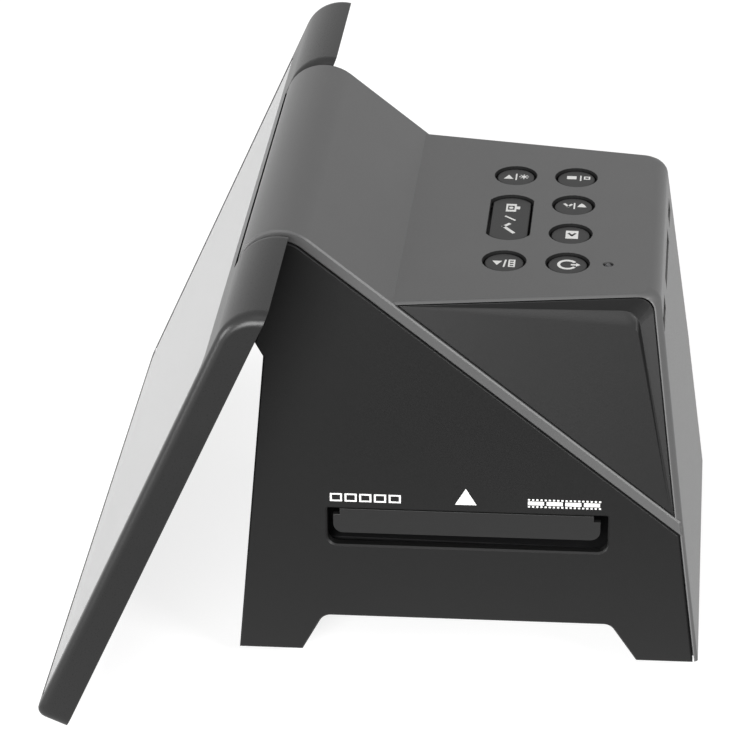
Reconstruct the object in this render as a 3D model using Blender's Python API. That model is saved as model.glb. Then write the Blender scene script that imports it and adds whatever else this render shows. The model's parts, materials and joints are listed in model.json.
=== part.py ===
"""Film negative scanner with a tilting display.

A black case on four rubber feet carries a grey top cover with a rounded hump along its front edge.
The display hangs from a hinge inside the hump and swings up.
A film holder slides through the case from side to side, over a light panel and under a camera.

The case is drawn with X across, Y from front to back and Z up.
Its origin is the front bottom edge of the case, and an empty then moves the whole assembly so that
the middle of its footprint, at the level of the feet, is the world origin. All lengths are in metres.
"""

import math

import bmesh
import bpy
from mathutils import Matrix, Vector

for leftover in list(bpy.data.objects):
    bpy.data.objects.remove(leftover, do_unlink=True)


# Case, side view
CASE_DEPTH = 0.1114
DECK_SETBACK = 0.0124
DECK_REAR_Y = CASE_DEPTH - DECK_SETBACK
SLOPE_ANGLE = math.radians(39.35)
AXIS_Y = 0.01253
AXIS_Z = 0.10277
DECK_DROP = 0.00777
DECK_HEIGHT = AXIS_Z - DECK_DROP
HUMP_RADIUS = 0.01015
COVER_LIP_ANGLE = math.radians(248)
CASE_LIP_ANGLE = math.radians(250)
FRONT_BEND_Y = 0.0077
FRONT_BEND_DROP = 0.02267
FRONT_BEND_Z = AXIS_Z - FRONT_BEND_DROP
FRONT_FLARE_Y = 0.0058
FRONT_FLARE_DROP = 0.01907
FRONT_FLARE_Z = AXIS_Z - FRONT_FLARE_DROP
ARCH_HEIGHT = 0.0099
ARCH_TOE_Y = 0.0154
ARCH_TOE_TOP_Y = 0.02066
HEEL_TOP_SETBACK = 0.0214
HEEL_SETBACK = 0.0149
ARCH_HEEL_TOP_Y = CASE_DEPTH - HEEL_TOP_SETBACK
ARCH_HEEL_Y = CASE_DEPTH - HEEL_SETBACK
ARCH_FILLET = 0.003

# Case, half widths from the middle plane
TOE_HALF_WIDTH = 0.04946
HEEL_HALF_WIDTH = 0.04708
HUMP_HALF_WIDTH = 0.04549
CREASE_HALF_WIDTH = 0.0450
DECK_REAR_HALF_WIDTH = 0.0361
RIM_REAR_HALF_WIDTH = 0.0459

# Walls, seams and clearances
WALL = 0.0022
RIM_DEPTH = 0.0028
RIM_PROUD = 0.0005
EDGE_BREAK = 0.0004
GAP = 0.0003
SEAM = 0.0004
REAR_SKIN = 0.0009
OVERRUN = 0.004
LIP_DEPTH = 0.003
LIP_THICKNESS = 0.001

# Deck block of the top cover
DECK_THICKNESS = 0.0024
BLOCK_WALL = 0.0028
CREASE_OVERLAP = 0.0006
DECK_REAR_RADIUS = 0.003
DECK_SIDE_RADIUS = 0.0008
PLAN_RADIUS_TOP = 0.004
PLAN_RADIUS_LOW = 0.0009
REAR_WALL_FOOT = 0.0004

# Side panel let into each flank of the deck block, with the valley round its facet
POCKET_DEPTH = 0.0020
VALLEY_DEPTH = 0.0011
PANEL_TOP_MARGIN = 0.0006
PANEL_SEAT_DEPTH = 0.0001
PANEL_REAR_MARGIN = 0.0016
PANEL_CORNER_RADIUS = 0.004
VALLEY_START = 0.0030
VALLEY_START_DROP = 0.0009
VALLEY_CORNER_SETBACK = 0.0056
VALLEY_CORNER_DROP = 0.0044
VALLEY_CORNER_RADIUS = 0.0045
FACET_STRIP = 0.0004
FACET_TOP_BEVEL = 0.0031
FACET_REAR_BEVEL = 0.0007
FACET_CORNER_RADIUS = 0.0034
FACET_START_REACH = 0.0015
FACET_START_DROP = 0.0010
FACET_TIP_RISE = 0.0015

# Film slots
SLOT_FRONT_Y = 0.0220
SLOT_REAR_SETBACK = 0.0226
SLOT_REAR_Y = CASE_DEPTH - SLOT_REAR_SETBACK
SLOT_FLOOR_Z = 0.0300
SLOT_TOP_Z = 0.0400
SLOT_CORNER = 0.0025
EXIT_TOP_Z = 0.0365

# Rubber feet and the bottom cover's screws
FOOT_PROUD = 0.0025
FOOT_RADIUS = 0.005
FOOT_RECESS = 0.0010
FOOT_X = 0.0375
FOOT_FRONT_Y = 0.0082
FOOT_REAR_SETBACK = 0.0084
FOOT_REAR_Y = CASE_DEPTH - FOOT_REAR_SETBACK
SCREW_X = 0.0360
SCREW_FRONT_Y = 0.0280
SCREW_REAR_SETBACK = 0.0284
SCREW_REAR_Y = CASE_DEPTH - SCREW_REAR_SETBACK
SCREW_RADIUS = 0.0014
SCREW_HEAD_RADIUS = 0.0027
SCREW_HEAD_DEPTH = 0.0012
SCREW_LENGTH = 0.009
SCREW_CLEARANCE = 0.0002
BOSS_RADIUS = 0.0032
BOSS_TOP_Z = 0.0240
BOTTOM_THICKNESS = 0.0020

# Film gate
GATE_FLOOR_THICKNESS = 0.0030
GATE_RAIL = 0.0019
GATE_ROOF_THICKNESS = 0.0030
GATE_ROOF_END_X = 0.0345
GATE_HALF_LENGTH = 0.0436
GATE_WINDOW_LENGTH = 0.0400
GATE_WINDOW_WIDTH = 0.0280
DIFFUSER_LEDGE = 0.002
DIFFUSER_THICKNESS = 0.0018
FILM_AXIS_Y = (SLOT_FRONT_Y + SLOT_REAR_Y) / 2

# Light box
LIGHT_BOX_LENGTH = 0.0480
LIGHT_BOX_WIDTH = 0.0360
LIGHT_BOX_WALL = 0.0016
LED_BOARD_THICKNESS = 0.0012
LED_SIZE = 0.0028
LED_HEIGHT = 0.0008
LED_PITCH = 0.0090

# Camera above the gate
TOWER_BASE_HALF = 0.0200
TOWER_TOP_HALF = 0.0130
TOWER_WALL = 0.0018
TOWER_FLANGE = 0.0040
TOWER_FLANGE_THICKNESS = 0.0018
TOWER_DROP = 0.0174
TOWER_TOP_Z = DECK_HEIGHT - TOWER_DROP
LENS_RADIUS = 0.0070
LENS_FLANGE_RADIUS = 0.0086
LENS_FLANGE_THICKNESS = 0.0014
LENS_LENGTH = 0.0150
LENS_MOUTH_RADIUS = 0.0045
LENS_MOUTH_DEPTH = 0.0040
SENSOR_BOARD_HALF = 0.0110
SENSOR_BOARD_THICKNESS = 0.0010

# Main board under the deck, with its sockets and key switches
BOARD_DROP = 0.0106
BOARD_TOP_Z = DECK_HEIGHT - BOARD_DROP
BOARD_THICKNESS = 0.0014
BOARD_BEHIND_CREASE = 0.0120
BOARD_CLEARANCE = 0.0006
POST_RADIUS = 0.0022
POST_FRONT_X = 0.0330
POST_BEHIND_CREASE = 0.0150
POST_REAR_X = 0.0310
POST_REAR_SETBACK = 0.0130
POST_REAR_Y = DECK_REAR_Y - POST_REAR_SETBACK
SWITCH_HALF = 0.0030
SWITCH_HEIGHT = 0.0030
SWITCH_KEY_RADIUS = 0.0017
SWITCH_KEY_HEIGHT = 0.0006
SOCKET_DEPTH = 0.0070
SOCKET_HEIGHT = 0.0031
SOCKET_SHELL = 0.0005
SOCKET_SET_BACK = 0.0006
USB_X = -0.0223
USB_WIDTH = 0.0090
CARD_X = 0.0021
CARD_WIDTH = 0.0244
VIDEO_X = 0.0290
VIDEO_WIDTH = 0.0114

# Keys on the deck
KEY_RADIUS = 0.00475
KEY_GAP = 0.00055
KEY_SUNK = 0.0005
KEY_HEIGHT = 0.0027
KEY_EDGE = 0.0005
KEY_FLANGE = 0.0010
KEY_FLANGE_THICKNESS = 0.0009
KEY_STEM_RADIUS = 0.0016
KEY_TRAVEL = 0.0006
CAPTURE_LENGTH = 0.0229
CAPTURE_ARC_RADIUS = 0.0056
KEY_ROW_PITCH = 0.0149
KEY_ROWS_BEHIND_MIDDLE = 0.0011
KEY_OUTER_X = 0.0225
KEY_INNER_X = 0.0075
LIGHT_PIPE_RADIUS = 0.0010
LIGHT_PIPE_X = 0.0224
LIGHT_PIPE_BEHIND_KEY = 0.0095

# Display
DISPLAY_LEAN = math.radians(24.34)
DISPLAY_RADIUS = 0.0101
DISPLAY_EAR_HEIGHT = 0.0106
DISPLAY_THICKNESS = 0.0080
DISPLAY_LENGTH = 0.1150
DISPLAY_HALF_WIDTH = 0.0866
DISPLAY_EDGE = 0.0022
DISPLAY_LOWER_EDGE = 0.0025
DISPLAY_CORNER = 0.0050
DISPLAY_EAR_CORNER = 0.0031
DISPLAY_WALL = 0.0020
NOTCH_SIDE_CLEARANCE = 0.0008
NOTCH_CLEARANCE = 0.00055
DISPLAY_NOTCH_HALF = HUMP_HALF_WIDTH + RIM_PROUD + NOTCH_SIDE_CLEARANCE
DISPLAY_NOTCH_RADIUS = HUMP_RADIUS + NOTCH_CLEARANCE
GLASS_SIDE_MARGIN = 0.0042
GLASS_HALF_WIDTH = DISPLAY_HALF_WIDTH - GLASS_SIDE_MARGIN
GLASS_TOP = 0.0090
GLASS_LOWER_MARGIN = 0.0034
GLASS_CORNER = 0.0035
GLASS_THICKNESS = 0.0011
GLASS_SUNK = 0.0001
WINDOW_SIDE_MARGIN = 0.0101
WINDOW_HALF_WIDTH = DISPLAY_HALF_WIDTH - WINDOW_SIDE_MARGIN
WINDOW_TOP_MARGIN = 0.0068
WINDOW_LOWER_MARGIN = 0.0102
FRONT_SHEET = 0.0013
PANEL_THICKNESS = 0.0019
PANEL_MARGIN = 0.0030
DISPLAY_BOARD_HALF_WIDTH = 0.0500
DISPLAY_BOARD_LENGTH = 0.0450
DISPLAY_BOARD_THICKNESS = 0.0009
BACK_THICKNESS = 0.0015
BACK_SCREW_RADIUS = 0.0019
BACK_SCREW_DEPTH = 0.0006

# Display hinges, hidden in the hump
SHAFT_RADIUS = 0.0024
SHAFT_CLEARANCE = 0.0001
SHAFT_INNER_SETBACK = 0.0195
BRACKET_INNER_SETBACK = 0.0170
BRACKET_OUTER_SETBACK = 0.0070
SHAFT_INNER_X = HUMP_HALF_WIDTH - SHAFT_INNER_SETBACK
BRACKET_INNER_X = HUMP_HALF_WIDTH - BRACKET_INNER_SETBACK
BRACKET_OUTER_X = HUMP_HALF_WIDTH - BRACKET_OUTER_SETBACK
BRACKET_RADIUS = 0.0045
BRACKET_FOOT_LENGTH = 0.0120
BRACKET_FOOT_THICKNESS = 0.0020
CRANK_INNER_SETBACK = 0.0065
CRANK_OUTER_SETBACK = 0.0035
CRANK_INNER_X = HUMP_HALF_WIDTH - CRANK_INNER_SETBACK
CRANK_OUTER_X = HUMP_HALF_WIDTH - CRANK_OUTER_SETBACK
ARM_NEAR = 0.0039
ARM_FAR = 0.0057
ARM_ABOVE = 0.0005
ARM_BELOW = 0.0023
ARM_REACH = 0.0137
ARM_OUTER_X = DISPLAY_NOTCH_HALF + ARM_REACH
ARM_CLEARANCE = 0.0003
ARM_SLOT_MARGIN = math.radians(3)
TILT_RANGE = math.radians(50)

# Dust flap in the entry slot
FLAP_SUNK = 0.0005
FLAP_THICKNESS = 0.0014
FLAP_END_GAP_FRONT = 0.0014
FLAP_END_GAP_REAR = 0.0018
FLAP_FOOT_GAP = 0.0031
FLAP_TOP_GAP = 0.0003
FLAP_CORNER = 0.0024
FLAP_NOTCH_LENGTH = 0.0030
FLAP_NOTCH_DEPTH = 0.0016
FLAP_PIN_RADIUS = 0.0009
FLAP_BORE_CLEARANCE = 0.00025
FLAP_BARREL_RADIUS = 0.0018
FLAP_PIN_DEPTH = 0.0044
FLAP_PIN_RISE = 0.0006
FLAP_WEB_THICKNESS = 0.0013
LUG_THICKNESS = 0.0022
LUG_RADIUS = 0.0020

# Counts
HUMP_STEPS = 24
FILLET_STEPS = 6
ROUND_STEPS = 26
SMALL_ROUND_STEPS = 16
EDGE_STEPS = 5
SMOOTH_ANGLE = math.radians(28)
FLATNESS = math.radians(0.01)
MERGE_DISTANCE = 0.00001

# Colours, linear
GREY_PLASTIC = (0.145, 0.145, 0.148)
BLACK_PLASTIC = (0.030, 0.030, 0.032)
PANEL_PLASTIC = (0.050, 0.050, 0.052)
KEY_PLASTIC = (0.045, 0.045, 0.047)
RUBBER = (0.015, 0.015, 0.015)
STEEL = (0.55, 0.55, 0.56)
WHITE_PLASTIC = (0.80, 0.80, 0.78)
BOARD_GREEN = (0.020, 0.120, 0.045)
SOCKET_METAL = (0.60, 0.60, 0.60)
GLASS_GREY = (0.60, 0.61, 0.62)
SCREEN_GREY = (0.30, 0.31, 0.32)


# Basic shapes

def finish(name, colour, roughness, metallic=0.0):
    """A plain surface finish with the part's own colour."""
    material = bpy.data.materials.new(name)
    material.use_nodes = True
    shader = material.node_tree.nodes["Principled BSDF"]
    shader.inputs["Base Color"].default_value = (*colour, 1.0)
    shader.inputs["Roughness"].default_value = roughness
    shader.inputs["Metallic"].default_value = metallic
    material.diffuse_color = (*colour, 1.0)
    return material


def mesh_object(name, points, faces):
    """A closed mesh with its faces pointing out, linked to the scene."""
    shape = bmesh.new()
    corners = [shape.verts.new(point) for point in points]
    for face in faces:
        shape.faces.new([corners[index] for index in face])
    bmesh.ops.connect_verts_nonplanar(shape, angle_limit=FLATNESS, faces=shape.faces)
    bmesh.ops.recalc_face_normals(shape, faces=shape.faces)
    mesh = bpy.data.meshes.new(name)
    shape.to_mesh(mesh)
    shape.free()
    thing = bpy.data.objects.new(name, mesh)
    bpy.context.scene.collection.objects.link(thing)
    return thing


def loft(name, loops):
    """Joins loops of equally many points into a solid and closes its two ends."""
    count = len(loops[0])
    points = [point for loop in loops for point in loop]
    faces = [list(range(count)), list(range(len(points) - count, len(points)))]
    for row in range(len(loops) - 1):
        for index in range(count):
            near = row * count + index
            beside = row * count + (index + 1) % count
            faces.append((near, beside, beside + count, near + count))
    return mesh_object(name, points, faces)


def rounded(corners):
    """An outline through corners (a, b, radius), with an arc at each corner that has a radius."""
    outline = []
    for index, (a, b, radius) in enumerate(corners):
        here = Vector((a, b))
        if radius == 0:
            outline.append((a, b))
            continue
        before = (Vector(corners[index - 1][:2]) - here).normalized()
        after = (Vector(corners[(index + 1) % len(corners)][:2]) - here).normalized()
        half = before.angle(after) / 2
        centre = here + (before + after).normalized() * radius / math.sin(half)
        start = here + before * radius / math.tan(half) - centre
        end = here + after * radius / math.tan(half) - centre
        sweep = start.angle_signed(end)
        for step in range(FILLET_STEPS + 1):
            turn = Matrix.Rotation(-sweep * step / FILLET_STEPS, 2)
            outline.append(tuple(centre + turn @ start))
    return outline


def inset_outline(outline, distance):
    """Moves every side of a closed outline inwards by a distance."""
    count = len(outline)
    area = sum(outline[i - 1][0] * outline[i][1] - outline[i][0] * outline[i - 1][1]
               for i in range(count))
    side = 1 if area > 0 else -1
    moved = []
    for index in range(count):
        here = Vector(outline[index])
        before = (here - Vector(outline[index - 1])).normalized()
        after = (Vector(outline[(index + 1) % count]) - here).normalized()
        first = Vector((-before.y, before.x)) * side
        second = Vector((-after.y, after.x)) * side
        bisector = (first + second).normalized()
        moved.append(tuple(here + bisector * distance / bisector.dot(first)))
    return moved


def merged(thing):
    """Joins points that coincide and drops the faces that vanish with them."""
    shape = bmesh.new()
    shape.from_mesh(thing.data)
    bmesh.ops.remove_doubles(shape, verts=shape.verts, dist=MERGE_DISTANCE)
    bmesh.ops.recalc_face_normals(shape, faces=shape.faces)
    shape.to_mesh(thing.data)
    shape.free()
    return thing


def prism(name, outline, low, high):
    """Extrudes a (Y, Z) outline across X from the surface low(y, z) to the surface high(y, z)."""
    loops = [[(surface(y, z), y, z) for y, z in outline] for surface in (low, high)]
    return loft(name, loops)


def broken_prism(name, outline, width):
    """A prism from -width to +width whose outer edges are broken by a small chamfer."""
    inner = inset_outline(outline, EDGE_BREAK)
    loops = [
        [(-width(y, z), y, z) for y, z in inner],
        [(EDGE_BREAK - width(y, z), y, z) for y, z in outline],
        [(width(y, z) - EDGE_BREAK, y, z) for y, z in outline],
        [(width(y, z), y, z) for y, z in inner],
    ]
    return loft(name, loops)


def at(value):
    """A flat surface across X."""
    return lambda y, z: value


def upright(name, outline, bottom, top):
    """Extrudes an (X, Y) outline from one height to another."""
    loops = [[(x, y, height) for x, y in outline] for height in (bottom, top)]
    return loft(name, loops)


def block(name, low, high):
    """A rectangular solid between two opposite corners."""
    outline = [(low[0], low[1]), (high[0], low[1]), (high[0], high[1]), (low[0], high[1])]
    return upright(name, outline, low[2], high[2])


def turned(name, profile, steps):
    """Turns a profile of (radius, height) pairs about Z and closes both ends."""
    loops = []
    for radius, height in profile:
        loops.append([(radius * math.cos(math.tau * step / steps),
                       radius * math.sin(math.tau * step / steps), height)
                      for step in range(steps)])
    return loft(name, loops)


def rod(name, radius, start_x, end_x, y, z, steps):
    """A round bar along X."""
    ring = [(y + radius * math.cos(math.tau * step / steps),
             z + radius * math.sin(math.tau * step / steps)) for step in range(steps)]
    return prism(name, ring, at(start_x), at(end_x))


def bake(thing):
    """Replaces a mesh by what its modifiers make of it."""
    evaluated = thing.evaluated_get(bpy.context.evaluated_depsgraph_get())
    mesh = bpy.data.meshes.new_from_object(evaluated)
    mesh.name = thing.name
    thing.modifiers.clear()
    thing.data = mesh


def combine(target, others, operation):
    """Adds solids to a target, or cuts them from it, and removes them."""
    for other in others:
        modifier = target.modifiers.new(other.name, "BOOLEAN")
        modifier.solver = "EXACT"
        modifier.operation = operation
        modifier.object = other
    bpy.context.view_layer.update()
    bake(target)
    for other in others:
        bpy.data.objects.remove(other, do_unlink=True)
    return target


def add(target, *others):
    return combine(target, others, "UNION")


def cut(target, *others):
    return combine(target, others, "DIFFERENCE")


def convex_faces(thing):
    """Divides each face that a cut left hollow or notched into convex ones."""
    shape = bmesh.new()
    shape.from_mesh(thing.data)
    bmesh.ops.connect_verts_concave(shape, faces=shape.faces)
    shape.to_mesh(thing.data)
    shape.free()


def complete(thing, material, carrier=None):
    """Gives a finished piece its material, smooth round surfaces and what it moves with."""
    convex_faces(thing)
    thing.data.materials.clear()
    thing.data.materials.append(material)
    thing.data.shade_smooth()
    thing.data.set_sharp_from_angle(angle=SMOOTH_ANGLE)
    thing.parent = carrier or scanner


def empty(name, parent=None, location=(0, 0, 0)):
    marker = bpy.data.objects.new(name, None)
    bpy.context.scene.collection.objects.link(marker)
    marker.parent = parent
    marker.location = location
    marker.empty_display_size = HUMP_RADIUS
    return marker


# Lines and planes that the case follows

def width_plane(samples):
    """The half width a + b*y + c*z that passes through three (y, z, half width) samples."""
    rows = Matrix([(1, y, z) for y, z, width in samples])
    a, b, c = rows.inverted() @ Vector([width for y, z, width in samples])
    return lambda y, z: a + b * y + c * z


def shifted(surface, distance):
    """The same half width, moved outwards by a distance."""
    return lambda y, z: surface(y, z) + distance


def mirrored(surface):
    """The surface on the other side of the middle plane."""
    return lambda y, z: -surface(y, z)


TANGENT_ANGLE = math.pi / 2 - SLOPE_ANGLE
REAR_LEAN = (CASE_DEPTH - DECK_REAR_Y) / DECK_HEIGHT


def slope_z(y, inset=0):
    """Height of the long slope behind the hump, moved inwards by an inset."""
    radius = HUMP_RADIUS - inset
    tangent_y = AXIS_Y + radius * math.cos(TANGENT_ANGLE)
    tangent_z = AXIS_Z + radius * math.sin(TANGENT_ANGLE)
    return tangent_z - math.tan(SLOPE_ANGLE) * (y - tangent_y)


def slope_y(z, inset=0):
    """Where the slope has a height."""
    return (slope_z(0, inset) - z) / math.tan(SLOPE_ANGLE)


def rear_y(z, inset=0):
    """Where the leaning rear wall stands at a height, moved inwards by an inset."""
    return CASE_DEPTH - REAR_LEAN * z - inset * math.hypot(1, REAR_LEAN)


def slope_meets_rear(slope_inset, rear_inset):
    """The point where the slope and the rear wall cross, each moved inwards."""
    fall = math.tan(SLOPE_ANGLE)
    z = (slope_z(0, slope_inset) - fall * rear_y(0, rear_inset)) / (1 - fall * REAR_LEAN)
    return rear_y(z, rear_inset), z


def on_hump(radius, angle):
    return AXIS_Y + radius * math.cos(angle), AXIS_Z + radius * math.sin(angle)


def hump_arc(inset, lip_angle):
    """The hump's arc from its front lip over the top to the start of the slope."""
    sweep = lip_angle - TANGENT_ANGLE
    return [on_hump(HUMP_RADIUS - inset, lip_angle - sweep * step / HUMP_STEPS)
            for step in range(HUMP_STEPS + 1)]


CREASE_Y = slope_y(DECK_HEIGHT)
KEY_ROW_FRONT_Y = (CREASE_Y + DECK_REAR_Y - KEY_ROW_PITCH) / 2 + KEY_ROWS_BEHIND_MIDDLE
KEY_ROW_REAR_Y = KEY_ROW_FRONT_Y + KEY_ROW_PITCH
LIGHT_PIPE_Y = KEY_ROW_REAR_Y + LIGHT_PIPE_BEHIND_KEY
BOARD_FRONT_Y = CREASE_Y + BOARD_BEHIND_CREASE
POST_FRONT_Y = CREASE_Y + POST_BEHIND_CREASE
RIM_REAR_Y, RIM_REAR_Z = slope_meets_rear(0, 0)
side_plane = width_plane([
    (0, 0, TOE_HALF_WIDTH),
    (CASE_DEPTH, 0, HEEL_HALF_WIDTH),
    (AXIS_Y, AXIS_Z, HUMP_HALF_WIDTH),
])
block_plane = width_plane([
    (CREASE_Y, DECK_HEIGHT, CREASE_HALF_WIDTH),
    (DECK_REAR_Y, DECK_HEIGHT, DECK_REAR_HALF_WIDTH),
    (RIM_REAR_Y, RIM_REAR_Z, RIM_REAR_HALF_WIDTH),
])

# The display's far edge, with its rounded lower front edge, sets the front of the footprint
display_reach = (
    AXIS_Y
    - (DISPLAY_RADIUS - DISPLAY_LOWER_EDGE) * math.cos(DISPLAY_LEAN)
    - (DISPLAY_LENGTH - DISPLAY_LOWER_EDGE) * math.sin(DISPLAY_LEAN)
    - DISPLAY_LOWER_EDGE
)
scanner = empty("scanner", location=(0, -(CASE_DEPTH + display_reach) / 2, FOOT_PROUD))


# Top cover

def cover_section(surface, height):
    """One level of the deck block or the rear wall: a tapered plan with rounded rear corners."""
    depth = DECK_HEIGHT - height
    rear_round = 0
    side_round = 0
    if depth < DECK_REAR_RADIUS:
        rear_round = DECK_REAR_RADIUS - math.sqrt(
            DECK_REAR_RADIUS ** 2 - (DECK_REAR_RADIUS - depth) ** 2)
    if depth < DECK_SIDE_RADIUS:
        side_round = DECK_SIDE_RADIUS - math.sqrt(
            DECK_SIDE_RADIUS ** 2 - (DECK_SIDE_RADIUS - depth) ** 2)
    share = height / DECK_HEIGHT
    radius = PLAN_RADIUS_LOW + (PLAN_RADIUS_TOP - PLAN_RADIUS_LOW) * share
    front = CREASE_Y - CREASE_OVERLAP
    rear = rear_y(height) - rear_round
    front_width = surface(front, height) - side_round
    rear_width = surface(rear, height) - side_round
    plan = rounded([
        (front_width, front, 0),
        (rear_width, rear, radius),
        (-rear_width, rear, radius),
        (-front_width, front, 0),
    ])
    return [(x, y, height) for x, y in plan]


def round_heights():
    """Levels that follow the rounded edge between the deck and the rear wall, from low to high."""
    levels = []
    for step in range(EDGE_STEPS, -1, -1):
        angle = math.pi / 2 * step / EDGE_STEPS
        levels.append(DECK_HEIGHT - DECK_REAR_RADIUS * (1 - math.cos(angle)))
    return levels


def bent_plate():
    """The hump, the slope and the two long rims, as one bent plate across the whole width."""
    outer_end = slope_meets_rear(0, REAR_SKIN / 2)
    inner_end = slope_meets_rear(RIM_DEPTH, REAR_SKIN / 2)
    outline = hump_arc(0, COVER_LIP_ANGLE) + [outer_end, inner_end]
    outline += list(reversed(hump_arc(RIM_DEPTH, COVER_LIP_ANGLE)))
    return broken_prism("bent_plate", outline, shifted(side_plane, RIM_PROUD))


def deck_block():
    """The block that carries the deck, cut off along the slope, and the rear wall below it."""
    sections = [
        cover_section(side_plane, REAR_WALL_FOOT),
        cover_section(side_plane, RIM_REAR_Z - RIM_DEPTH * 2 / 3),
        cover_section(block_plane, RIM_REAR_Z - RIM_DEPTH / 3),
    ]
    sections += [cover_section(block_plane, level) for level in round_heights()]
    deck = loft("deck_block", sections)
    inset = RIM_DEPTH / 2
    low = CREASE_Y - OVERRUN
    outline = [
        (low, slope_z(low, inset)),
        slope_meets_rear(inset, WALL),
        (rear_y(-OVERRUN, WALL), -OVERRUN),
        (low, -OVERRUN),
    ]
    cut(deck, prism("below_slope", outline, at(-CASE_DEPTH), at(CASE_DEPTH)))
    return cut(deck, rear_rebate(1), rear_rebate(-1))


def block_hollow():
    """The room under the deck, open down to the case."""
    top = DECK_HEIGHT - DECK_THICKNESS
    low = RIM_REAR_Z - RIM_DEPTH - OVERRUN
    outline = [
        (CREASE_Y, top),
        (rear_y(top, BLOCK_WALL), top),
        (rear_y(low, BLOCK_WALL), low),
        (CREASE_Y, low),
    ]
    inner = shifted(block_plane, -BLOCK_WALL)
    return prism("block_hollow", outline, mirrored(inner), inner)


def rear_rebate(sign):
    """Beside the lower rear wall, room for the end of the case's side wall."""
    outline = [
        (rear_y(-OVERRUN, REAR_SKIN), -OVERRUN),
        slope_meets_rear(RIM_DEPTH, REAR_SKIN),
        slope_meets_rear(RIM_DEPTH, WALL + OVERRUN),
        (rear_y(-OVERRUN, WALL + OVERRUN), -OVERRUN),
    ]
    inner = shifted(side_plane, -WALL - GAP)
    outer = shifted(side_plane, OVERRUN)
    if sign > 0:
        return prism("rebate_right", outline, inner, outer)
    return prism("rebate_left", outline, mirrored(outer), mirrored(inner))


def slope_lip(sign):
    """A thin lip under each rim that overlaps the inside of the case's side wall."""
    start = CREASE_Y
    upper = RIM_DEPTH - EDGE_BREAK
    lower = RIM_DEPTH + LIP_DEPTH
    top_end = slope_meets_rear(upper, WALL + GAP)
    low_end = slope_meets_rear(lower, WALL + GAP)
    outline = [(start, slope_z(start, upper)), top_end, low_end, (start, slope_z(start, lower))]
    inner = shifted(side_plane, -WALL - GAP - LIP_THICKNESS)
    outer = shifted(side_plane, -WALL - GAP)
    if sign > 0:
        return prism("lip_right", outline, inner, outer)
    return prism("lip_left", outline, mirrored(outer), mirrored(inner))


def panel_outline(margin):
    """The side panel's outline on the flank of the deck block, shrunk by a margin."""
    top = DECK_HEIGHT - PANEL_TOP_MARGIN - margin
    foot = PANEL_SEAT_DEPTH - margin
    rear = PANEL_REAR_MARGIN + margin
    low_y, low_z = slope_meets_rear(foot, rear)
    return rounded([
        (slope_y(top, foot), top, 0),
        (rear_y(top, rear), top, PANEL_CORNER_RADIUS),
        (low_y, low_z, 0),
    ])


def key_places():
    """Each key's name and its place on the deck; the capture key is the long one."""
    return [
        ("key_up", -KEY_OUTER_X, KEY_ROW_FRONT_Y),
        ("key_capture", 0, KEY_ROW_FRONT_Y),
        ("key_down", KEY_OUTER_X, KEY_ROW_FRONT_Y),
        ("key_edit", -KEY_OUTER_X, KEY_ROW_REAR_Y),
        ("key_adjust", -KEY_INNER_X, KEY_ROW_REAR_Y),
        ("key_save", KEY_INNER_X, KEY_ROW_REAR_Y),
        ("key_power", KEY_OUTER_X, KEY_ROW_REAR_Y),
    ]


def circle(radius, steps):
    return [(radius * math.cos(math.tau * step / steps), radius * math.sin(math.tau * step / steps))
            for step in range(steps)]


def capture_outline(grow):
    """The long key seen from above: straight sides and shallow arcs at both ends."""
    half = KEY_RADIUS + grow
    radius = CAPTURE_ARC_RADIUS + grow
    centre = CAPTURE_LENGTH / 2 - CAPTURE_ARC_RADIUS
    reach = math.asin(half / radius)
    arc = [-reach + 2 * reach * step / (2 * FILLET_STEPS) for step in range(2 * FILLET_STEPS + 1)]
    right = [(centre + radius * math.cos(angle), radius * math.sin(angle)) for angle in arc]
    return right + [(-x, -y) for x, y in right]


def key_outline(name, grow):
    if name == "key_capture":
        return capture_outline(grow)
    return circle(KEY_RADIUS + grow, ROUND_STEPS)


def key_hole(name, x, y):
    outline = [(x + a, y + b) for a, b in key_outline(name, KEY_GAP)]
    bottom = DECK_HEIGHT - DECK_THICKNESS - OVERRUN
    return upright("hole_" + name, outline, bottom, DECK_HEIGHT + OVERRUN)


def sockets():
    """Name, middle and width of each socket in the rear wall."""
    return [
        ("usb_socket", USB_X, USB_WIDTH),
        ("card_socket", CARD_X, CARD_WIDTH),
        ("video_socket", VIDEO_X, VIDEO_WIDTH),
    ]


def socket_base_z():
    return BOARD_TOP_Z + GAP


def socket_slit(name, x, width):
    half = width / 2 + GAP
    low = socket_base_z() - GAP
    high = socket_base_z() + SOCKET_HEIGHT + GAP
    return block("slit_" + name, (x - half, rear_y(high, WALL) - OVERRUN, low),
                 (x + half, CASE_DEPTH, high))


def board_posts():
    """Posts under the deck that the main board is screwed to."""
    posts = []
    for sign in (-1, 1):
        for x, y in ((POST_FRONT_X, POST_FRONT_Y), (POST_REAR_X, POST_REAR_Y)):
            ring = [(sign * x + a, y + b) for a, b in circle(POST_RADIUS, SMALL_ROUND_STEPS)]
            top = DECK_HEIGHT - DECK_THICKNESS / 2
            posts.append(upright("post", ring, BOARD_TOP_Z + GAP, top))
    return posts


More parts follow.
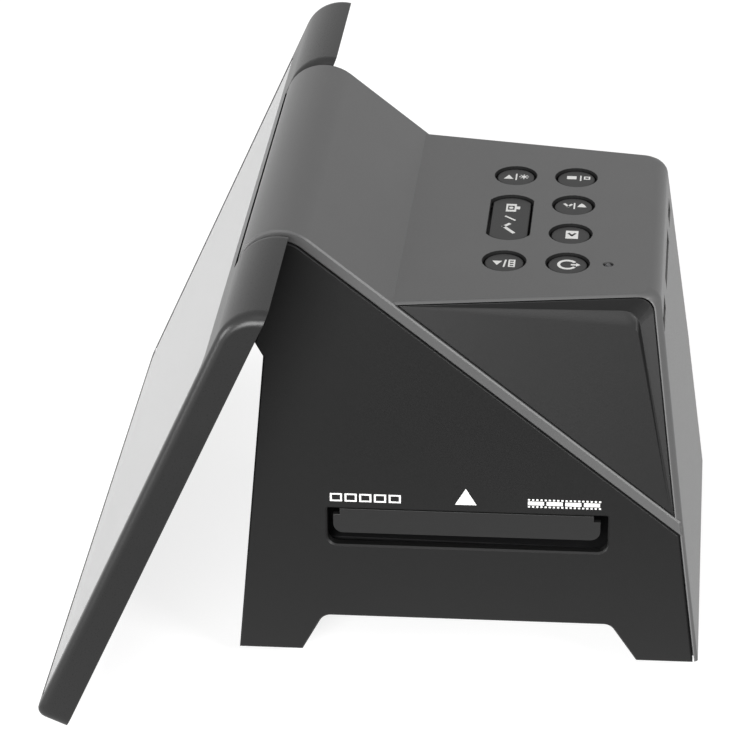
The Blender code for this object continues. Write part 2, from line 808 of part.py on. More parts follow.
def make_top_cover():
    cover = bent_plate()
    cover.name = "top_cover"
    add(cover, deck_block())
    cut(cover, block_hollow())
    add(cover, slope_lip(1), slope_lip(-1))
    pocket = shifted(block_plane, -POCKET_DEPTH)
    beyond = shifted(block_plane, OVERRUN)
    outline = panel_outline(0)
    cut(cover, prism("pocket_right", outline, pocket, beyond),
        prism("pocket_left", outline, mirrored(beyond), mirrored(pocket)))
    cut(cover, *[key_hole(*place) for place in key_places()])
    cut(cover, *[socket_slit(*socket) for socket in sockets()])
    ring = [(LIGHT_PIPE_X + a, LIGHT_PIPE_Y + b)
            for a, b in circle(LIGHT_PIPE_RADIUS + GAP, SMALL_ROUND_STEPS)]
    cut(cover, upright("pipe_hole", ring, BOARD_TOP_Z, DECK_HEIGHT + OVERRUN))
    add(cover, *board_posts())
    complete(cover, finish("top_cover", GREY_PLASTIC, 0.45))


def facet_loops():
    """Seen from the side: the bottom of the valley, then the edge of the flat facet inside it."""
    top = DECK_HEIGHT - PANEL_TOP_MARGIN
    strip = GAP + FACET_STRIP
    start = (CREASE_Y + VALLEY_START, top - VALLEY_START_DROP)
    corner_z = DECK_HEIGHT - VALLEY_CORNER_DROP
    corner = (rear_y(corner_z) - VALLEY_CORNER_SETBACK, corner_z)
    tip = slope_meets_rear(PANEL_SEAT_DEPTH - strip, PANEL_REAR_MARGIN + strip)
    valley = rounded([(*start, 0), (*corner, VALLEY_CORNER_RADIUS), (*tip, 0)])
    facet = rounded([
        (start[0] + FACET_START_REACH, start[1] - FACET_START_DROP, 0),
        (corner[0], corner[1] - FACET_TOP_BEVEL, FACET_CORNER_RADIUS),
        (tip[0] - FACET_REAR_BEVEL, tip[1] + FACET_TIP_RISE, 0),
    ])
    return valley, facet


def make_side_panel(name, sign):
    """A dark panel let into the flank: a valley deepens towards its rear corner round the facet."""
    outline = panel_outline(GAP)
    valley, facet = facet_loops()
    depths = [0] + [VALLEY_DEPTH] * (len(valley) - 2) + [0]
    loops = [
        [(sign * (block_plane(y, z) + GAP - POCKET_DEPTH), y, z) for y, z in outline],
        [(sign * block_plane(y, z), y, z) for y, z in outline],
        [(sign * (block_plane(y, z) - depth), y, z) for (y, z), depth in zip(valley, depths)],
        [(sign * block_plane(y, z), y, z) for y, z in facet],
    ]
    complete(loft(name, loops), finish(name, PANEL_PLASTIC, 0.5))


# Lower case

def arch_outline():
    """The underside of the side wall, from the toe to the heel, with the arch between the feet."""
    return [
        (ARCH_TOE_Y, 0, 0),
        (ARCH_TOE_TOP_Y, ARCH_HEIGHT, ARCH_FILLET),
        (ARCH_HEEL_TOP_Y, ARCH_HEIGHT, ARCH_FILLET),
        (ARCH_HEEL_Y, 0, 0),
    ]


def front_line():
    """The front wall from the toe up to the lip under the hump."""
    return [
        (0, 0),
        (FRONT_BEND_Y, FRONT_BEND_Z),
        (FRONT_FLARE_Y, FRONT_FLARE_Z),
        on_hump(HUMP_RADIUS + SEAM, CASE_LIP_ANGLE),
    ]


def side_outline():
    inset = RIM_DEPTH + SEAM
    rear = REAR_SKIN + SEAM
    outline = rounded([(0, 0, 0)] + arch_outline() + [(rear_y(0, rear), 0, 0)])
    outline.append(slope_meets_rear(inset, rear))
    outline += list(reversed(hump_arc(inset, CASE_LIP_ANGLE)))
    outline += list(reversed(front_line()))[:-1]
    return outline


def case_hollow():
    """The room between the side walls, behind the front wall."""
    line = [Vector(point) for point in front_line()]
    up = (line[3] - line[2]).normalized()
    across = Vector((up.y, -up.x))
    end = line[3] - up * GAP
    shift = inset_outline([tuple(point) for point in line] + [(CASE_DEPTH, 0)], WALL)
    inner_foot = Vector(shift[0])
    foot_run = (Vector(shift[1]) - inner_foot).normalized()
    start = inner_foot - foot_run * OVERRUN
    outline = [
        tuple(start),
        shift[1],
        shift[2],
        tuple(end + across * WALL),
        tuple(end - across * OVERRUN),
        (-OVERRUN, AXIS_Z + HUMP_RADIUS),
        (CASE_DEPTH + OVERRUN, AXIS_Z + HUMP_RADIUS),
        (CASE_DEPTH + OVERRUN, -OVERRUN),
        (start.x, -OVERRUN),
    ]
    inner = shifted(side_plane, -WALL)
    return prism("case_hollow", outline, mirrored(inner), inner)


def slot_outline(top, grow):
    corner = SLOT_CORNER + grow
    return rounded([
        (SLOT_FRONT_Y - grow, SLOT_FLOOR_Z - grow, corner),
        (SLOT_REAR_Y + grow, SLOT_FLOOR_Z - grow, corner),
        (SLOT_REAR_Y + grow, top + grow, EDGE_BREAK),
        (SLOT_FRONT_Y - grow, top + grow, EDGE_BREAK),
    ])


def slot_cutter(name, top, sign):
    """A slot through one side wall, with its outer edge broken."""
    plain = slot_outline(top, 0)
    wide = slot_outline(top, 2 * EDGE_BREAK)
    loops = [
        [(sign * (side_plane(y, z) - WALL - OVERRUN), y, z) for y, z in plain],
        [(sign * (side_plane(y, z) - EDGE_BREAK), y, z) for y, z in plain],
        [(sign * (side_plane(y, z) + EDGE_BREAK), y, z) for y, z in wide],
    ]
    return loft(name, loops)


def arm_sweep():
    """Nearest and furthest radius, and lowest and highest angle, that the display's arm passes."""
    near = ARM_NEAR - ARM_CLEARANCE
    far = math.hypot(ARM_FAR, ARM_BELOW) + ARM_CLEARANCE
    front = math.pi - DISPLAY_LEAN
    lowest = front + math.atan(ARM_BELOW / ARM_NEAR) + ARM_SLOT_MARGIN
    highest = front - math.atan(ARM_ABOVE / ARM_NEAR) - TILT_RANGE - ARM_SLOT_MARGIN
    return near, far, lowest, highest


def arm_slot(sign):
    """The curved slot in the side wall's hump end that the display's arm sweeps through."""
    near, far, lowest, highest = arm_sweep()
    steps = 2 * FILLET_STEPS
    angles = [lowest + (highest - lowest) * step / steps for step in range(steps + 1)]
    outline = [on_hump(near, angle) for angle in angles]
    outline += [on_hump(far, angle) for angle in reversed(angles)]
    inner = shifted(side_plane, -WALL - OVERRUN)
    outer = shifted(side_plane, OVERRUN)
    if sign > 0:
        return prism("arm_slot_right", outline, inner, outer)
    return prism("arm_slot_left", outline, mirrored(outer), mirrored(inner))


def screw_places():
    return [(sign * SCREW_X, y) for sign in (-1, 1) for y in (SCREW_FRONT_Y, SCREW_REAR_Y)]


def boss_bottom():
    return ARCH_HEIGHT + BOTTOM_THICKNESS + GAP


def screw_boss(x, y):
    """A hollow post for a case screw, joined to the side wall by a rib."""
    ring = [(x + a, y + b) for a, b in circle(BOSS_RADIUS, SMALL_ROUND_STEPS)]
    boss = upright("boss", ring, boss_bottom(), BOSS_TOP_Z)
    wall_x = math.copysign(side_plane(y, BOSS_TOP_Z) - WALL / 2, x)
    half = WALL / 2
    low = (min(x, wall_x), y - half, boss_bottom() + GAP)
    high = (max(x, wall_x), y + half, BOSS_TOP_Z - GAP)
    return add(boss, block("rib", low, high))


def screw_bore(x, y):
    ring = [(x + a, y + b) for a, b in circle(SCREW_RADIUS + SCREW_CLEARANCE, SMALL_ROUND_STEPS)]
    top = ARCH_HEIGHT + SCREW_LENGTH + GAP
    return upright("bore", ring, ARCH_HEIGHT - OVERRUN, top)


FLAP_TURN = math.atan((side_plane(0, 0) - side_plane(CASE_DEPTH, 0)) / CASE_DEPTH)
FLAP_TILT = math.atan((side_plane(0, 0) - side_plane(0, AXIS_Z)) / AXIS_Z)


def flap_frame():
    """The dust flap's own frame: X out through the wall, Y along the slot, origin on its pin."""
    z = SLOT_TOP_Z + FLAP_PIN_RISE
    y = (SLOT_FRONT_Y + SLOT_REAR_Y) / 2
    turn = Matrix.Rotation(FLAP_TURN, 4, "Z") @ Matrix.Rotation(-FLAP_TILT, 4, "Y")
    surface = Vector((side_plane(y, z), y, z))
    pin = surface - (turn @ Vector((1, 0, 0))) * FLAP_PIN_DEPTH
    return Matrix.Translation(pin) @ turn


def placed(thing, frame):
    """Moves a mesh into another frame, leaving the object where it is."""
    thing.data.transform(frame)
    return thing


def flap_bar(name, radius, start, end, steps):
    """A round bar along the flap's pin."""
    loops = [[(radius * math.cos(math.tau * step / steps), y, radius * math.sin(math.tau * step / steps))
              for step in range(steps)] for y in (start, end)]
    return loft(name, loops)


def pin_half():
    return (SLOT_REAR_Y - SLOT_FRONT_Y) / 2 + GAP + LUG_THICKNESS


def flap_lug(sign):
    """A small eye on the wall's inner face that holds one end of the flap's pin."""
    near = pin_half() - LUG_THICKNESS
    far = pin_half() + GAP
    outline = [(FLAP_PIN_DEPTH - WALL / 2, -LUG_RADIUS), (FLAP_PIN_DEPTH - WALL / 2, LUG_RADIUS)]
    for step in range(FILLET_STEPS + 1):
        angle = math.pi / 2 + math.pi * step / FILLET_STEPS
        outline.append((LUG_RADIUS * math.cos(angle), LUG_RADIUS * math.sin(angle)))
    loops = [[(x, y, z) for x, z in outline] for y in (sign * near, sign * far)]
    lug = loft("lug", loops)
    bore = flap_bar("lug_bore", FLAP_PIN_RADIUS + SHAFT_CLEARANCE, sign * near - OVERRUN,
                    sign * far + OVERRUN, SMALL_ROUND_STEPS)
    cut(lug, bore)
    return placed(lug, flap_frame())


def make_lower_case():
    case = broken_prism("lower_case", side_outline(), side_plane)
    cut(case, case_hollow())
    cut(case, slot_cutter("entry_slot", SLOT_TOP_Z, 1), slot_cutter("exit_slot", EXIT_TOP_Z, -1))
    cut(case, arm_slot(1), arm_slot(-1))
    add(case, *[screw_boss(x, y) for x, y in screw_places()])
    cut(case, *[screw_bore(x, y) for x, y in screw_places()])
    add(case, flap_lug(1), flap_lug(-1))
    complete(case, finish("lower_case", BLACK_PLASTIC, 0.5))


# Bottom cover, feet and screws

def foot_places():
    return [
        ("foot_front_left", -FOOT_X, FOOT_FRONT_Y),
        ("foot_front_right", FOOT_X, FOOT_FRONT_Y),
        ("foot_rear_left", -FOOT_X, FOOT_REAR_Y),
        ("foot_rear_right", FOOT_X, FOOT_REAR_Y),
    ]


def make_bottom_cover():
    """A bent plate that follows the two legs and the arch between them."""
    front = WALL + GAP
    low = EDGE_BREAK
    rear = rear_y(low + BOTTOM_THICKNESS, WALL + GAP)
    under = [(front, low, 0), (ARCH_TOE_Y, low, 0)] + arch_outline()[1:3]
    under += [(ARCH_HEEL_Y, low, 0), (rear, low, 0)]
    lower_line = rounded(under)
    rise = inset_outline(lower_line + [(rear, DECK_HEIGHT), (front, DECK_HEIGHT)], BOTTOM_THICKNESS)
    upper_line = rise[:len(lower_line)]
    upper_line[0] = (front, low + BOTTOM_THICKNESS)
    upper_line[-1] = (rear, low + BOTTOM_THICKNESS)
    outline = lower_line + list(reversed(upper_line))
    inner = shifted(side_plane, -WALL - GAP)
    cover = prism("bottom_cover", outline, mirrored(inner), inner)
    recesses = []
    for name, x, y in foot_places():
        ring = [(x + a, y + b) for a, b in circle(FOOT_RADIUS + GAP, ROUND_STEPS)]
        recesses.append(upright("recess_" + name, ring, low - OVERRUN, low + FOOT_RECESS))
    for x, y in screw_places():
        recesses.append(screw_bore(x, y))
        ring = [(x + a, y + b) for a, b in circle(SCREW_HEAD_RADIUS + GAP, SMALL_ROUND_STEPS)]
        top = ARCH_HEIGHT + SCREW_HEAD_DEPTH
        recesses.append(upright("head_recess", ring, ARCH_HEIGHT - OVERRUN, top))
    cut(cover, *recesses)
    complete(cover, finish("bottom_cover", BLACK_PLASTIC, 0.55))


def make_feet():
    material = finish("rubber_foot", RUBBER, 0.9)
    top = EDGE_BREAK + FOOT_RECESS - GAP
    profile = [(FOOT_RADIUS - EDGE_BREAK, -FOOT_PROUD), (FOOT_RADIUS, EDGE_BREAK - FOOT_PROUD),
               (FOOT_RADIUS, top)]
    for name, x, y in foot_places():
        foot = turned(name, profile, ROUND_STEPS)
        foot.location = (x, y, 0)
        complete(foot, material)


def make_screws():
    """Four self-tapping screws from below; each head has a cross recess."""
    material = finish("case_screw", STEEL, 0.35, 1.0)
    seat = SCREW_HEAD_DEPTH - GAP
    profile = [
        (SCREW_HEAD_RADIUS - EDGE_BREAK, seat - SCREW_HEAD_DEPTH + GAP),
        (SCREW_HEAD_RADIUS, seat - SCREW_HEAD_DEPTH + GAP + EDGE_BREAK),
        (SCREW_HEAD_RADIUS, seat),
        (SCREW_RADIUS, seat),
        (SCREW_RADIUS, SCREW_LENGTH - SCREW_RADIUS),
        (SCREW_RADIUS / 2, SCREW_LENGTH),
    ]
    for number, (x, y) in enumerate(screw_places(), start=1):
        screw = turned("case_screw_%d" % number, profile, SMALL_ROUND_STEPS)
        long = SCREW_RADIUS
        short = SCREW_RADIUS / 4
        depth = SCREW_HEAD_DEPTH / 2
        cut(screw, block("cross_x", (-long, -short, -OVERRUN), (long, short, depth)),
            block("cross_y", (-short, -long, -OVERRUN), (short, long, depth)))
        screw.location = (x, y, ARCH_HEIGHT)
        complete(screw, material)


# Film gate, light box and camera

GATE_FLOOR_TOP = SLOT_FLOOR_Z - GAP
GATE_FLOOR_BOTTOM = GATE_FLOOR_TOP - GATE_FLOOR_THICKNESS
GATE_ROOF_BOTTOM = EXIT_TOP_Z + GAP
GATE_ROOF_TOP = GATE_ROOF_BOTTOM + GATE_ROOF_THICKNESS
GATE_FRONT_Y = SLOT_FRONT_Y - GAP - GATE_RAIL
GATE_REAR_Y = SLOT_REAR_Y + GAP + GATE_RAIL


def gate_window(name, grow, bottom, top):
    return block(name,
                 (-GATE_WINDOW_LENGTH / 2 - grow, FILM_AXIS_Y - GATE_WINDOW_WIDTH / 2 - grow, bottom),
                 (GATE_WINDOW_LENGTH / 2 + grow, FILM_AXIS_Y + GATE_WINDOW_WIDTH / 2 + grow, top))


def make_film_gate():
    """A channel with side rails that the film holder slides in, and a roof plate over it."""
    half = GATE_HALF_LENGTH
    floor = block("gate_floor", (-half, GATE_FRONT_Y, GATE_FLOOR_BOTTOM),
                  (half, GATE_REAR_Y, GATE_ROOF_BOTTOM - GAP))
    channel = block("channel", (-half - OVERRUN, SLOT_FRONT_Y - GAP, GATE_FLOOR_TOP),
                    (half + OVERRUN, SLOT_REAR_Y + GAP, GATE_ROOF_BOTTOM + OVERRUN))
    ledge_z = GATE_FLOOR_TOP - GAP - DIFFUSER_THICKNESS - GAP
    cut(floor, channel, gate_window("light_window", 0, GATE_FLOOR_BOTTOM - OVERRUN, SLOT_FLOOR_Z))
    cut(floor, gate_window("diffuser_seat", DIFFUSER_LEDGE, ledge_z, SLOT_FLOOR_Z))
    complete(floor, finish("gate_floor", BLACK_PLASTIC, 0.6))

    diffuser = gate_window("diffuser", DIFFUSER_LEDGE - GAP, ledge_z + GAP, GATE_FLOOR_TOP - GAP)
    complete(diffuser, finish("diffuser", WHITE_PLASTIC, 0.3))

    roof = block("gate_roof", (-half, GATE_FRONT_Y, GATE_ROOF_BOTTOM),
                 (GATE_ROOF_END_X, GATE_REAR_Y, GATE_ROOF_TOP))
    cut(roof, gate_window("camera_window", 0, GATE_ROOF_BOTTOM - OVERRUN, GATE_ROOF_TOP + OVERRUN))
    complete(roof, finish("gate_roof", BLACK_PLASTIC, 0.6))


def make_light_box():
    bottom = ARCH_HEIGHT + BOTTOM_THICKNESS + GAP
    top = GATE_FLOOR_BOTTOM - GAP
    low = (-LIGHT_BOX_LENGTH / 2, FILM_AXIS_Y - LIGHT_BOX_WIDTH / 2, bottom)
    high = (LIGHT_BOX_LENGTH / 2, FILM_AXIS_Y + LIGHT_BOX_WIDTH / 2, top)
    box = block("light_box", low, high)
    wall = LIGHT_BOX_WALL
    cut(box, block("light_room", (low[0] + wall, low[1] + wall, low[2] + wall),
                   (high[0] - wall, high[1] - wall, high[2] + OVERRUN)))
    complete(box, finish("light_box", WHITE_PLASTIC, 0.6))

    base = low[2] + wall + GAP
    margin = wall + GAP
    board = block("light_board", (low[0] + margin, low[1] + margin, base),
                  (high[0] - margin, high[1] - margin, base + LED_BOARD_THICKNESS))
    half = LED_SIZE / 2
    lamps = []
    for column in (-1.5, -0.5, 0.5, 1.5):
        for row in (-1, 0, 1):
            x = column * LED_PITCH
            y = FILM_AXIS_Y + row * LED_PITCH
            lamps.append(block("lamp", (x - half, y - half, base + LED_BOARD_THICKNESS / 2),
                               (x + half, y + half, base + LED_BOARD_THICKNESS + LED_HEIGHT)))
    add(board, *lamps)
    complete(board, finish("light_board", WHITE_PLASTIC, 0.5))


def square(half, y):
    return [(-half, y - half), (half, y - half), (half, y + half), (-half, y + half)]


def make_camera():
    """A tapered tower over the gate, with the lens in its top plate and the sensor board above."""
    base = GATE_ROOF_TOP + GAP
    y = FILM_AXIS_Y
    tower = loft("camera_tower", [
        [(a, b, base) for a, b in square(TOWER_BASE_HALF, y)],
        [(a, b, TOWER_TOP_Z) for a, b in square(TOWER_TOP_HALF, y)],
    ])
    add(tower, upright("flange", square(TOWER_BASE_HALF + TOWER_FLANGE, y), base,
                       base + TOWER_FLANGE_THICKNESS))
    room = loft("tower_room", [
        [(a, b, base - OVERRUN) for a, b in square(TOWER_BASE_HALF - TOWER_WALL, y)],
        [(a, b, TOWER_TOP_Z - TOWER_WALL) for a, b in square(TOWER_TOP_HALF - TOWER_WALL, y)],
    ])
    ring = [(a, y + b) for a, b in circle(LENS_RADIUS + GAP, ROUND_STEPS)]
    cut(tower, room, upright("lens_bore", ring, TOWER_TOP_Z - OVERRUN, TOWER_TOP_Z + OVERRUN))
    complete(tower, finish("camera_tower", BLACK_PLASTIC, 0.6))

    seat = TOWER_TOP_Z + GAP
    bottom = seat - LENS_LENGTH
    lens = turned("lens_barrel", [
        (LENS_RADIUS, bottom),
        (LENS_RADIUS, seat),
        (LENS_FLANGE_RADIUS, seat),
        (LENS_FLANGE_RADIUS, seat + LENS_FLANGE_THICKNESS),
    ], ROUND_STEPS)
    mouth = turned("lens_mouth", [
        (LENS_MOUTH_RADIUS + LENS_MOUTH_DEPTH / 4, bottom - GAP),
        (LENS_MOUTH_RADIUS, bottom + LENS_MOUTH_DEPTH),
    ], ROUND_STEPS)
    cut(lens, mouth)
    lens.location = (0, y, 0)
    complete(lens, finish("lens_barrel", BLACK_PLASTIC, 0.4))

    low = seat + LENS_FLANGE_THICKNESS + GAP
    board = upright("sensor_board", square(SENSOR_BOARD_HALF, y), low, low + SENSOR_BOARD_THICKNESS)
    complete(board, finish("sensor_board", BOARD_GREEN, 0.5))


# Main board with sockets, keys and status light

def make_main_board():
    top = BOARD_TOP_Z
    bottom = top - BOARD_THICKNESS
    inner = shifted(block_plane, -BLOCK_WALL - BOARD_CLEARANCE)
    rear = rear_y(top, BLOCK_WALL + BOARD_CLEARANCE)
    outline = [(BOARD_FRONT_Y, bottom), (rear, bottom), (rear, top), (BOARD_FRONT_Y, top)]
    board = prism("main_board", outline, mirrored(inner), inner)
    switches = []
    for name, x, y in key_places():
        half = SWITCH_HALF
        switch = block("switch", (x - half, y - half, top - BOARD_THICKNESS / 2),
                       (x + half, y + half, top + SWITCH_HEIGHT))
        ring = [(x + a, y + b) for a, b in circle(SWITCH_KEY_RADIUS, SMALL_ROUND_STEPS)]
        key_top = top + SWITCH_HEIGHT + SWITCH_KEY_HEIGHT
        add(switch, upright("plunger", ring, top + SWITCH_HEIGHT / 2, key_top))
        switches.append(switch)
    add(board, *switches)
    complete(board, finish("main_board", BOARD_GREEN, 0.5))


def make_sockets():
    material = finish("socket_shell", SOCKET_METAL, 0.3, 1.0)
    low = socket_base_z()
    high = low + SOCKET_HEIGHT
    for name, x, width in sockets():
        face = rear_y(high, SOCKET_SET_BACK)
        half = width / 2
        shell = block(name, (x - half, face - SOCKET_DEPTH, low), (x + half, face, high))
        skin = SOCKET_SHELL
        room = block("room", (x - half + skin, face - SOCKET_DEPTH + 2 * skin, low + skin),
                     (x + half - skin, face + OVERRUN, high - skin))
        cut(shell, room)
        complete(shell, material)


def make_keys():
    """Each key has a dished cap, a flange under the deck and a stem over its switch."""
    top = -KEY_SUNK
    flange_top = -DECK_THICKNESS - GAP
    flange_bottom = flange_top - KEY_FLANGE_THICKNESS
    switch_top = BOARD_TOP_Z + SWITCH_HEIGHT + SWITCH_KEY_HEIGHT
    stem_bottom = switch_top + KEY_TRAVEL + SHAFT_CLEARANCE - DECK_HEIGHT
    for name, x, y in key_places():
        levels = [
            (0, flange_bottom + KEY_FLANGE_THICKNESS / 2),
            (0, top - KEY_EDGE),
            (-KEY_EDGE * (1 - math.sqrt(0.5)), top - KEY_EDGE * (1 - math.sqrt(0.5))),
            (-KEY_EDGE, top),
        ]
        cap = loft(name, [[(a, b, height) for a, b in key_outline(name, grow)]
                          for grow, height in levels])
        flange = upright("flange", key_outline(name, KEY_GAP + KEY_FLANGE), flange_bottom, flange_top)
        stem = upright("stem", circle(KEY_STEM_RADIUS, SMALL_ROUND_STEPS), stem_bottom,
                       flange_bottom + KEY_FLANGE_THICKNESS / 2)
        add(cap, flange, stem)
        cap.location = (x, y, DECK_HEIGHT)
        complete(cap, finish(name, KEY_PLASTIC, 0.4))


def make_status_light():
    bottom = BOARD_TOP_Z + GAP
    pipe = turned("status_light", [
        (LIGHT_PIPE_RADIUS, bottom),
        (LIGHT_PIPE_RADIUS, DECK_HEIGHT - KEY_SUNK),
        (LIGHT_PIPE_RADIUS / 2, DECK_HEIGHT),
    ], SMALL_ROUND_STEPS)
    pipe.location = (LIGHT_PIPE_X, LIGHT_PIPE_Y, 0)
    complete(pipe, finish("status_light", WHITE_PLASTIC, 0.2))


# Display hinge

def bracket_outline():
    """A round eye about the hinge axis with a foot that lies along the inside of the slope."""
    along = Vector((math.cos(SLOPE_ANGLE), -math.sin(SLOPE_ANGLE)))
    out = Vector((math.sin(SLOPE_ANGLE), math.cos(SLOPE_ANGLE)))
    axis = Vector((AXIS_Y, AXIS_Z))
    seat = HUMP_RADIUS - RIM_DEPTH - GAP
    ring_start = TANGENT_ANGLE
    outline = [tuple(axis + out * seat), tuple(axis + out * seat + along * BRACKET_FOOT_LENGTH)]
    foot_under = out * (seat - BRACKET_FOOT_THICKNESS)
    outline.append(tuple(axis + foot_under + along * BRACKET_FOOT_LENGTH))
    outline.append(tuple(axis + foot_under + along * BRACKET_RADIUS))
    sweep = math.pi * 1.5
    steps = 3 * FILLET_STEPS
    for step in range(steps + 1):
        angle = ring_start - math.pi / 2 - sweep * step / steps
        outline.append(on_hump(BRACKET_RADIUS, angle))
    return outline


def make_hinge(side, sign):
    low, high = sorted((sign * BRACKET_INNER_X, sign * BRACKET_OUTER_X))
    bracket = prism("hinge_bracket_" + side, bracket_outline(), at(low), at(high))
    cut(bracket, rod("bearing", SHAFT_RADIUS + SHAFT_CLEARANCE, low - OVERRUN, high + OVERRUN,
                     AXIS_Y, AXIS_Z, ROUND_STEPS))
    complete(bracket, finish("hinge_bracket_" + side, STEEL, 0.4, 1.0))

    low, high = sorted((sign * SHAFT_INNER_X, sign * CRANK_OUTER_X))
    shaft = rod("hinge_shaft_" + side, SHAFT_RADIUS, low, high, 0, 0, ROUND_STEPS)
    strap = [
        (sign * CRANK_INNER_X, 0),
        (sign * CRANK_INNER_X, -ARM_FAR),
        (sign * ARM_OUTER_X, -ARM_FAR),
        (sign * ARM_OUTER_X, -ARM_NEAR),
        (sign * CRANK_OUTER_X, -ARM_NEAR),
        (sign * CRANK_OUTER_X, 0),
    ]
    add(shaft, upright("strap", strap, -ARM_BELOW, ARM_ABOVE))
    complete(shaft, finish("hinge_shaft_" + side, STEEL, 0.35, 1.0), display_pivot)


# Display, in its own frame: origin on the hinge axis, Y to the back, Z up along the glass

display_pivot = empty("display_pivot", scanner, (0, AXIS_Y, AXIS_Z))
display_pivot.rotation_euler = (-DISPLAY_LEAN, 0, 0)

DISPLAY_FRONT = -DISPLAY_RADIUS
DISPLAY_BACK = DISPLAY_THICKNESS - DISPLAY_RADIUS


def round_inset(depth, radius):
    """How far a rounded edge draws in at a depth from its end."""
    if depth >= radius:
        return 0
    return radius - math.sqrt(radius ** 2 - (radius - depth) ** 2)


def display_section(x, end_depth, ear_depth, notched):
    """The display cut across at x, at its depths from the outer end and from the ear's nearer end."""
    front = round_inset(end_depth, DISPLAY_EDGE) - DISPLAY_RADIUS
    foot = round_inset(end_depth, DISPLAY_CORNER) - DISPLAY_LENGTH
    edge = DISPLAY_LOWER_EDGE
    outline = [(DISPLAY_BACK, foot)]
    for step in range(EDGE_STEPS + 1):
        angle = math.pi / 2 * step / EDGE_STEPS
        outline.append((front + edge * (1 - math.sin(angle)), foot + edge * (1 - math.cos(angle))))
    start = math.acos(DISPLAY_RADIUS / DISPLAY_NOTCH_RADIUS)
    end = math.acos(-DISPLAY_BACK / DISPLAY_NOTCH_RADIUS)
    radius = DISPLAY_NOTCH_RADIUS
    outline.append((front, -radius * math.sin(start)))
    reach = DISPLAY_RADIUS - round_inset(ear_depth, DISPLAY_EDGE)
    height = DISPLAY_EAR_HEIGHT - round_inset(ear_depth, DISPLAY_EAR_CORNER)
    stop = math.acos(-DISPLAY_BACK / reach)
    steps = 2 * FILLET_STEPS
    for step in range(steps + 1):
        if notched:
            angle = start + (end - start) * step / steps
            outline.append((-radius * math.cos(angle), -radius * math.sin(angle)))
        else:
            angle = stop * step / steps
            outline.append((-reach * math.cos(angle), height * math.sin(angle)))
    outline.append((DISPLAY_BACK, -radius * math.sin(end)))
    return [(x, y, z) for y, z in outline]


def display_body(name):
    """Sections from end to end, with an ear on each side of the notch that clears the hump."""
    depths = []
    for step in range(EDGE_STEPS + 2):
        angle = math.pi / 2 * step / (EDGE_STEPS + 1)
        depths.append(DISPLAY_EAR_CORNER * (1 - math.cos(angle)))
    stations = [(DISPLAY_HALF_WIDTH - depth, depth, depth, False) for depth in depths]
    ear = DISPLAY_HALF_WIDTH - DISPLAY_NOTCH_HALF
    for depth in reversed(depths):
        stations.append((DISPLAY_NOTCH_HALF + depth, ear - depth, depth, False))
    stations.append((DISPLAY_NOTCH_HALF, ear, 0, True))
    stations += [(-x, *rest) for x, *rest in reversed(stations)]
    return merged(loft(name, [display_section(*station) for station in stations]))


def face_plate(name, half_width, top, bottom, corner, front, back):
    """A flat plate parallel to the glass, with rounded corners."""
    outline = rounded([(-half_width, bottom, corner), (half_width, bottom, corner),
                       (half_width, top, corner), (-half_width, top, corner)])
    loops = [[(x, y, z) for x, z in outline] for y in (front, back)]
    return loft(name, loops)


GLASS_BOTTOM = DISPLAY_LENGTH - GLASS_LOWER_MARGIN
GLASS_BACK = DISPLAY_FRONT + GLASS_SUNK + GLASS_THICKNESS
SHEET_FRONT = GLASS_BACK + GAP
SHEET_BACK = SHEET_FRONT + FRONT_SHEET
SCREEN_FRONT = SHEET_BACK + GAP
SCREEN_BACK = SCREEN_FRONT + PANEL_THICKNESS
COVER_FRONT = DISPLAY_BACK - BACK_THICKNESS
WINDOW_TOP = GLASS_TOP + WINDOW_TOP_MARGIN
WINDOW_HEIGHT = DISPLAY_LENGTH - WINDOW_LOWER_MARGIN - WINDOW_TOP
NOTCH_WALL_RADIUS = DISPLAY_NOTCH_RADIUS + DISPLAY_WALL


def notch(name, radius, half):
    return rod(name, radius, -half, half, 0, 0, 2 * ROUND_STEPS)


def inner_profile(front, back, margin):
    """The room inside the display's shell, between two depths, kept inside the wall by a margin."""
    radius = DISPLAY_RADIUS - DISPLAY_WALL - margin
    foot = DISPLAY_WALL + margin - DISPLAY_LENGTH
    start = math.acos(front / radius)
    end = math.acos(back / radius)
    outline = [(back, foot), (front, foot)]
    for step in range(FILLET_STEPS + 1):
        angle = start + (end - start) * step / FILLET_STEPS
        outline.append((radius * math.cos(angle), radius * math.sin(angle)))
    return outline


def display_room(name, front, back, margin):
    """A solid that fills the display's room between two depths, clear of the notch for the hump."""
    half = DISPLAY_HALF_WIDTH - DISPLAY_WALL - margin
    room = prism(name, inner_profile(front, back, margin), at(-half), at(half))
    corner = DISPLAY_CORNER - DISPLAY_WALL
    foot = DISPLAY_WALL + margin - DISPLAY_LENGTH
    plan = face_plate("plan", half, 2 * DISPLAY_RADIUS, foot, corner, front - OVERRUN, back + OVERRUN)
    combine(room, [plan], "INTERSECT")
    cut(room, notch("notch_wall", NOTCH_WALL_RADIUS + margin,
                    DISPLAY_NOTCH_HALF + DISPLAY_WALL + margin))
    return room


